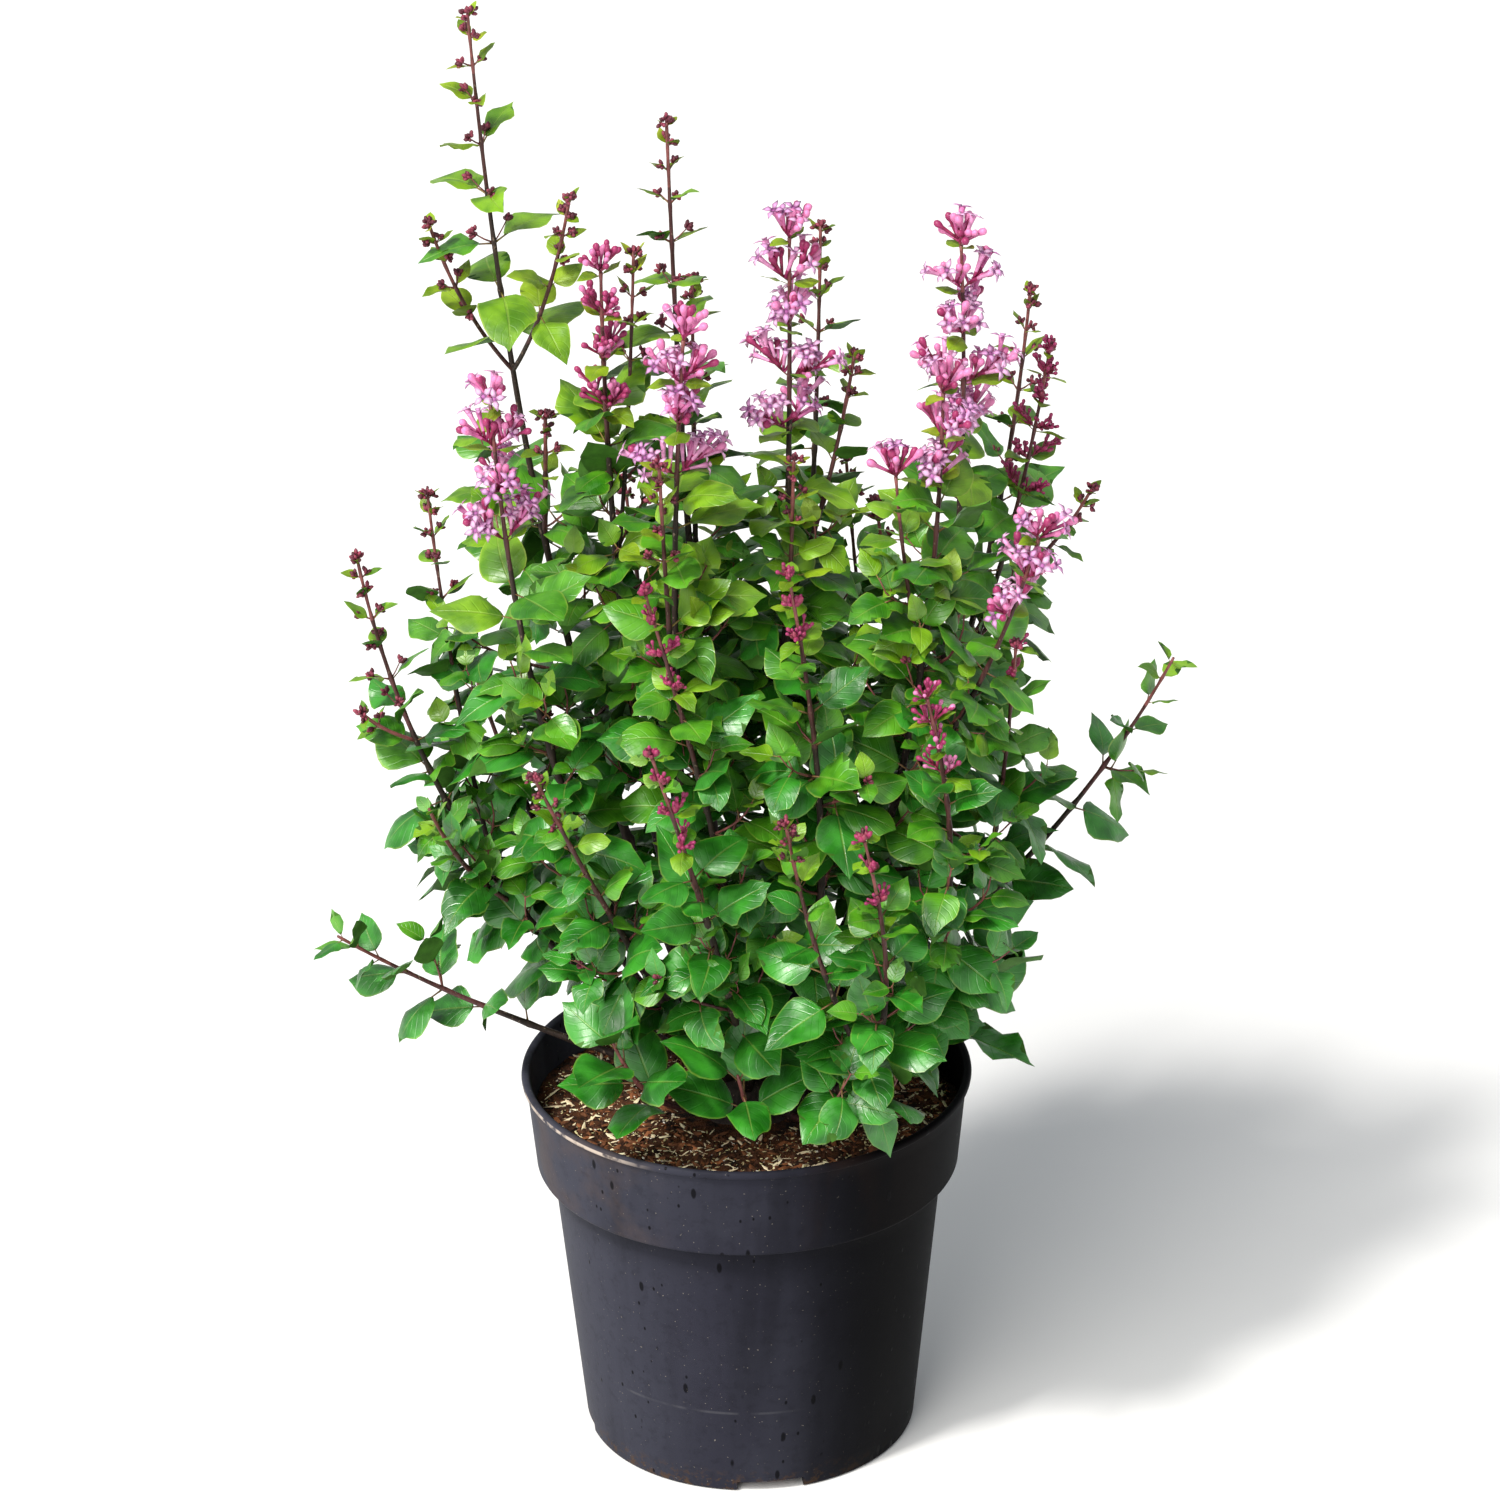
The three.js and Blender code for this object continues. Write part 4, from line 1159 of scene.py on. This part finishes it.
def pot_material():
    """Matt blue-black plastic with dust, specks, dried drops, stains, a scuffed line and a worn rim, and
    painted light: a lighter left side, painted shade on the right and under the collar, and a painted
    highlight on the rim.
    """
    s = Shader("pot_plastic", linear(34, 34, 42), 0.5, 0.03)
    x, y, z = s.node("ShaderNodeSeparateXYZ", {0: s.coords()}).outputs
    turn = s.math("ARCTAN2", y, x)
    radius = s.math("SQRT", s.math("ADD", s.times(x, x), s.times(y, y)))

    def sector(azimuth, half_width):
        """1 in the middle of a sector about an azimuth, 0 outside it, both in degrees."""
        away = s.math("ABSOLUTE", s.math("SUBTRACT", turn, math.radians(azimuth)))
        return s.fade(away, math.radians(0.5 * half_width), math.radians(half_width))

    def band(low, low_end, high, high_end):
        """1 between two heights, in metres, with soft ends."""
        return s.times(s.ramp(z, low, low_end), s.fade(z, high, high_end))

    def cloud(low, high, scale, detail, roughness, upright=None):
        """Patches where a noise is high; upright makes them tall."""
        vector = s.stretched(1, 1, upright) if upright else None
        return s.ramp(s.noise(scale, detail, roughness, vector), low, high)

    def drops(scale, slender, patch, share):
        """Dried drops: tall spots at random points, only where a wide noise allows them."""
        inputs = {"Vector": s.stretched(1, 1, slender), "Scale": scale, "Randomness": 1.0}
        cells = s.node("ShaderNodeTexVoronoi", inputs).outputs["Distance"]
        return s.times(s.fade(cells, 0.075, 0.125), cloud(share, share + 0.03, patch, 1, 0.5))

    collar = s.ramp(z, 0.156, 0.159)
    line = s.fade(s.math("ABSOLUTE", s.math("SUBTRACT", z, 0.051)), 0.0002, 0.0012)
    outer_rim = s.ramp(radius, 0.1186, 0.1194)
    wet = s.math("MAXIMUM", drops(74, 0.42, 30, 0.47), drops(128, 0.6, 22, 0.5))
    # Painted light: the pot's colour is lighter on its left, the side towards the lamps.
    left = s.blend(s.ramp(x, -0.11, 0.0), linear(60, 61, 72), linear(40, 40, 50))
    # Painted shade: from the middle to the right, the colour goes near black.
    coat = s.blend(s.ramp(x, 0.0, 0.095), left, linear(8, 8, 10))
    for strength, colour, *masks in (
        (0.2, (72, 74, 84), cloud(0.35, 0.7, 9, 4, 0.6)),  # dust
        (0.42, (16, 16, 20), cloud(0.45, 0.75, 34, 3, 0.6, 0.1)),  # runs
        (0.22, (20, 20, 25), cloud(0.48, 0.7, 150, 4, 0.7)),  # mottle
        (0.4, (12, 12, 15), band(0.128, 0.156, 0.157, 0.158)),  # shade under the collar
        (0.28, (92, 74, 62), collar, sector(-142, 34), cloud(0.4, 0.62, 26, 4, 0.6)),  # stain
        (0.4, (70, 48, 34), collar, sector(-52, 26), cloud(0.42, 0.62, 20, 4, 0.6, 0.4)),  # brown stain
        (0.3, (96, 96, 100), line, sector(-112, 42), cloud(0.38, 0.6, 60, 3, 0.6, 0.2)),  # scuffed line
        (0.7, (84, 62, 40), s.fade(z, 0.0, 0.016), cloud(0.5, 0.62, 210, 4, 0.7)),  # soiled foot
        (0.45, (150, 142, 130), cloud(0.75, 0.79, 760, 1, 0.4)),  # specks
        (0.75, (206, 190, 176), outer_rim, band(0.2064, 0.207, 0.2084, 0.209), sector(-146, 33),
         cloud(0.3, 0.5, 110, 3, 0.6)),  # worn rim, with a painted highlight on its left-front edge towards the lamps
        (0.85, (8, 8, 10), wet),  # drops
        (0.94, (4, 4, 6), s.ramp(x, 0.0, 0.075)),  # painted shade on the right side, away from the lamps
    ):
        coat = s.blend(s.times(*masks, strength), coat, linear(*colour))
    grain = s.math("ADD", s.noise(900, 2), s.times(wet, 1.2))
    return s.surface(coat, grain, 0.12, 0.5, s.ramp(wet, 0.0, 1.0, 0.5, 0.3))


# ---- the soil

# The soil's side from its foot up, as (height, radius), clear of the pot's wall.
SOIL_SIDE = ((3.4, 84.2), (157.5, 102), (159.6, 104), (163, 110.4))
# The ground of the loose bits: a coarser grid, bare round the trunk and short of the wall.
SCATTER = Sizes(rings=30, sides=96, bare_rings=8, inset=4, tilt=0.45)

# Loose bits: the piece, its shapes' name, number, width and height for one of length; how many to a
# square centimetre, the shortest, the longest and the seed; and the finish.
LITTER = (
    ("pale_slivers", "sliver", 4, 0.21, 0.09, 2.4, 2.4, 11, 11,
     "sliver_wood", (255, 228, 190), 0.55, 160, 0.2),
    ("fine_slivers", "splinter", 3, 0.3, 0.16, 8.5, 1.0, 3.6, 15,
     "splinter_wood", (250, 206, 154), 0.65, 160, 0.5),
    ("peat_crumbs", "crumb", 3, 0.8, 0.6, 12, 0.9, 3.6, 12,
     "crumb_peat", (66, 36, 18), 0.85, 160, 0.7),
    ("bark_pieces", "piece", 3, 0.42, 0.2, 3.0, 2.5, 9.5, 13,
     "piece_bark", (128, 78, 46), 0.75, 120, 0.6),
    ("white_grains", "grain", 2, 0.85, 0.7, 1.0, 0.7, 1.9, 14,
     "grain_white", (226, 220, 208), 0.7, 500, 0.1),
)


def soil_height(x, y):
    """Height of the soil's surface: level, lumpy, a little lower at the wall."""
    radius = np.hypot(x, y)
    lumps = sum(height * value_noise(x / width, y / width, seed)
                for height, width, seed in ((1.3, 15, 1), (1.1, 6, 2), (0.7, 3, 3)))
    flat = np.clip((radius - TRUNK.foot) / 14, 0.25, 1)
    drop = SOIL.edge_drop * np.clip((radius - 92) / 20, 0, 1) ** 2
    return SOIL.level + SOIL.lump * flat * lumps - drop


def soil_grid(radius_out, rings, sides):
    """Rings of points on the surface, closer together towards the wall."""
    radii = radius_out * (np.arange(1, rings + 1) / rings) ** 0.85
    x, y = radii[:, None] * np.cos(circle(sides)), radii[:, None] * np.sin(circle(sides))
    return np.stack([x, y, soil_height(x, y)], axis=-1)


def build_soil():
    side = turned_rings(SOIL_SIDE, SOIL.sides)
    top = soil_grid(SOIL.edge_radius, SOIL.rings, SOIL.sides)[::-1]
    bed = Sheaf()
    add_turned(bed, np.concatenate([side, top]))
    finish_piece(bed.build("soil_bed", [soil_material()]), ["soil"])
    rings, sides = SCATTER.rings, SCATTER.sides
    grid = soil_grid(SOIL.edge_radius - SCATTER.inset, rings, sides)
    quads = strip_faces(rings, sides)
    keep = quads[quads.min(axis=1) >= sides * SCATTER.bare_rings]
    ground = Sheaf()
    ground.add(grid.reshape(-1, 3), keep.ravel(), [4] * len(keep), [0] * len(keep))
    for name, shape, count, width, height, *amounts, paint, colour, roughness, scale, contrast in LITTER:
        shapes = chip_shapes(shape, count, width, height)
        material = plain_material(paint, linear(*colour), roughness, scale, contrast)
        litter(ground, name, shapes, *amounts, material)


def soil_material():
    s = Shader("soil_peat", linear(58, 36, 21), 0.85, 0.3)
    coarse, fine = s.noise(110, 5, 0.65), s.noise(600, 4, 0.7)
    mixed = s.blend(s.ramp(coarse, 0.35, 0.65), linear(20, 9, 3), linear(100, 58, 30))
    speckled = s.blend(s.ramp(fine, 0.6, 0.75), mixed, linear(186, 146, 108))
    return s.surface(speckled, s.math("ADD", coarse, fine), 2.2, 1.0)


def chip_shapes(name, count, width, height):
    """Irregular bits, one unit long, for scattering."""
    shapes = []
    for k in range(count):
        luck = Luck(9000 + 17 * k + len(name) * 101)
        rings = []
        for share, girth in ((-0.5, 0.3), (-0.24, 0.95), (0.2, 1.0), (0.5, 0.3)):
            ring = []
            for corner in range(4):
                angle = 2 * math.pi * corner / 4 + 0.7 * luck.spread(1)
                bulk = girth * (1 + luck.spread(0.6))
                ring.append((share, width / 2 * bulk * math.cos(angle), height / 2 * bulk * math.sin(angle)))
            rings.append(ring)
        sheaf = Sheaf()
        add_turned(sheaf, np.array(rings) / MM)
        shapes.append(sheaf.build(f"{name}_{k}", smooth=False))
    return shapes


def litter_tree(name, holder, material, amounts):
    """Scatters what the holder has over a mesh; returns the tree and each input's identifier."""
    tree = bpy.data.node_groups.new(f"{name}_scatter", "GeometryNodeTree")
    socket = tree.interface.new_socket
    socket(name="Geometry", in_out="INPUT", socket_type="NodeSocketGeometry")
    identifiers = {}
    for label, value in amounts.items():
        kind = "NodeSocketInt" if label == "Seed" else "NodeSocketFloat"
        item = socket(name=label, in_out="INPUT", socket_type=kind)
        item.default_value = value
        identifiers[label] = item.identifier
    socket(name="Geometry", in_out="OUTPUT", socket_type="NodeSocketGeometry")
    inlet = add_node(tree, "NodeGroupInput").outputs
    tilt, seed = SCATTER.tilt, {"Seed": inlet["Seed"]}
    points = add_node(tree, "GeometryNodeDistributePointsOnFaces",
                      {"Mesh": inlet["Geometry"], "Density": inlet["Density"], **seed})
    source = add_node(tree, "GeometryNodeCollectionInfo",
                      {"Collection": holder, "Separate Children": True, "Reset Children": True})
    spin = add_node(tree, "FunctionNodeRandomValue",
                    {0: (-tilt, -tilt, 0), 1: (tilt, tilt, 6.283), **seed}, data_type="FLOAT_VECTOR")
    size = add_node(tree, "FunctionNodeRandomValue", {2: inlet["Shortest"], 3: inlet["Longest"], **seed})
    place = add_node(tree, "GeometryNodeInstanceOnPoints",
                     {"Points": points.outputs["Points"], "Instance": source.outputs[0],
                      "Pick Instance": True, "Rotation": spin.outputs[0], "Scale": size.outputs[1]})
    real = add_node(tree, "GeometryNodeRealizeInstances", {0: place.outputs[0]})
    paint = add_node(tree, "GeometryNodeSetMaterial", {0: real.outputs[0], "Material": material})
    add_node(tree, "NodeGroupOutput", {0: paint.outputs[0]})
    return tree, identifiers


def litter(ground, name, shapes, per_cm2, shortest, longest, seed, material):
    """Scatters the shapes over the soil with geometry nodes and makes them one plain mesh."""
    holder = bpy.data.collections.new(f"{name}_shapes")
    bpy.context.scene.collection.children.link(holder)
    for shape in shapes:
        bpy.context.collection.objects.unlink(shape)
        holder.objects.link(shape)
    amounts = dict(Density=per_cm2 * 1e4, Shortest=shortest * MM, Longest=longest * MM, Seed=seed)
    tree, identifiers = litter_tree(name, holder, material, amounts)
    piece = ground.build(name)
    step = piece.modifiers.new("scatter", "NODES")
    step.node_group = tree
    for label, value in amounts.items():
        step[identifiers[label]] = value
    apply_modifiers(piece)
    for shape in shapes:
        bpy.data.objects.remove(shape)
    bpy.data.collections.remove(holder)
    finish_piece(piece)


# ---- camera, floor, light and background

CAMERA = Sizes(distance=3000, elevation=24.647, target_x=4.04, target_z=394.74, lens=138.56, sensor=36,
               roll=-0.7229, clip_end=100)
FLOOR = Sizes(radius=20000, top=-0.2, thick=0.2, sides=64, colour=(0.9, 0.9, 0.9, 1))
SKY = Sizes(colour=(0.92, 0.96, 1.0, 1), strength=0.44)
SUN_COLOUR = (1.0, 0.97, 0.92)
# name, strength, how wide it looks in degrees, the direction towards it
SUNS = (
    ("softbox", 2.2, 40, (-0.5, -0.85, 0.75)),
    ("key", 2.5, 8, (-0.58, -0.55, 1.1)),
)


def stand(name, data, axes, place):
    """A camera or a light, with its three axes and its place in millimetres."""
    item = bpy.data.objects.new(name, data)
    columns = (*axes, place * MM)
    rows = [[column[row] for column in columns] for row in range(3)]
    item.matrix_world = Matrix(rows + [[0, 0, 0, 1]])
    bpy.context.collection.objects.link(item)
    return item


def make_camera():
    """A far camera with a long lens, a little rolled."""
    tilt, roll = math.radians(CAMERA.elevation), math.radians(CAMERA.roll)
    forward = np.array([0, math.cos(tilt), -math.sin(tilt)])
    right = np.array([1.0, 0, 0])
    up = np.cross(right, forward)
    rolled_right = right * math.cos(roll) + up * math.sin(roll)
    rolled_up = up * math.cos(roll) - right * math.sin(roll)
    place = np.array([CAMERA.target_x, 0, CAMERA.target_z]) - CAMERA.distance * forward
    data = bpy.data.cameras.new("camera")
    data.lens = CAMERA.lens
    data.sensor_width = CAMERA.sensor
    data.sensor_fit = "HORIZONTAL"
    data.clip_end = CAMERA.clip_end
    bpy.context.scene.camera = stand("camera", data, (rolled_right, rolled_up, -forward), place)


def build_stage():
    low = FLOOR.top - FLOOR.thick
    sheaf = Sheaf()
    add_turned(sheaf, turned_rings([(low, FLOOR.radius), (FLOOR.top, FLOOR.radius)], FLOOR.sides))
    paint = plain_material("floor_paint", FLOOR.colour, 0.9, 3, 0.01, bump=0.0)
    floor = sheaf.build("floor", [paint])
    world = bpy.data.worlds.new("studio")
    bpy.context.scene.world = world
    world.use_nodes = True
    sky = world.node_tree.nodes["Background"]
    sky.inputs["Color"].default_value = SKY.colour
    sky.inputs["Strength"].default_value = SKY.strength
    for name, strength, angle, toward in SUNS:
        toward = unit(np.array(toward))
        across = unit(np.cross(UP, toward))
        sun = bpy.data.lights.new(name, "SUN")
        sun.energy = strength
        sun.angle = math.radians(angle)
        sun.color = SUN_COLOUR
        stand(name, sun, (across, np.cross(toward, across), toward), np.zeros(3))
    view = bpy.context.scene.view_settings
    view.view_transform = "Standard"
    view.look = "None"
    view.exposure = 0.0


make_camera()
build_stage()
build_pot()
build_soil()
build_plant()
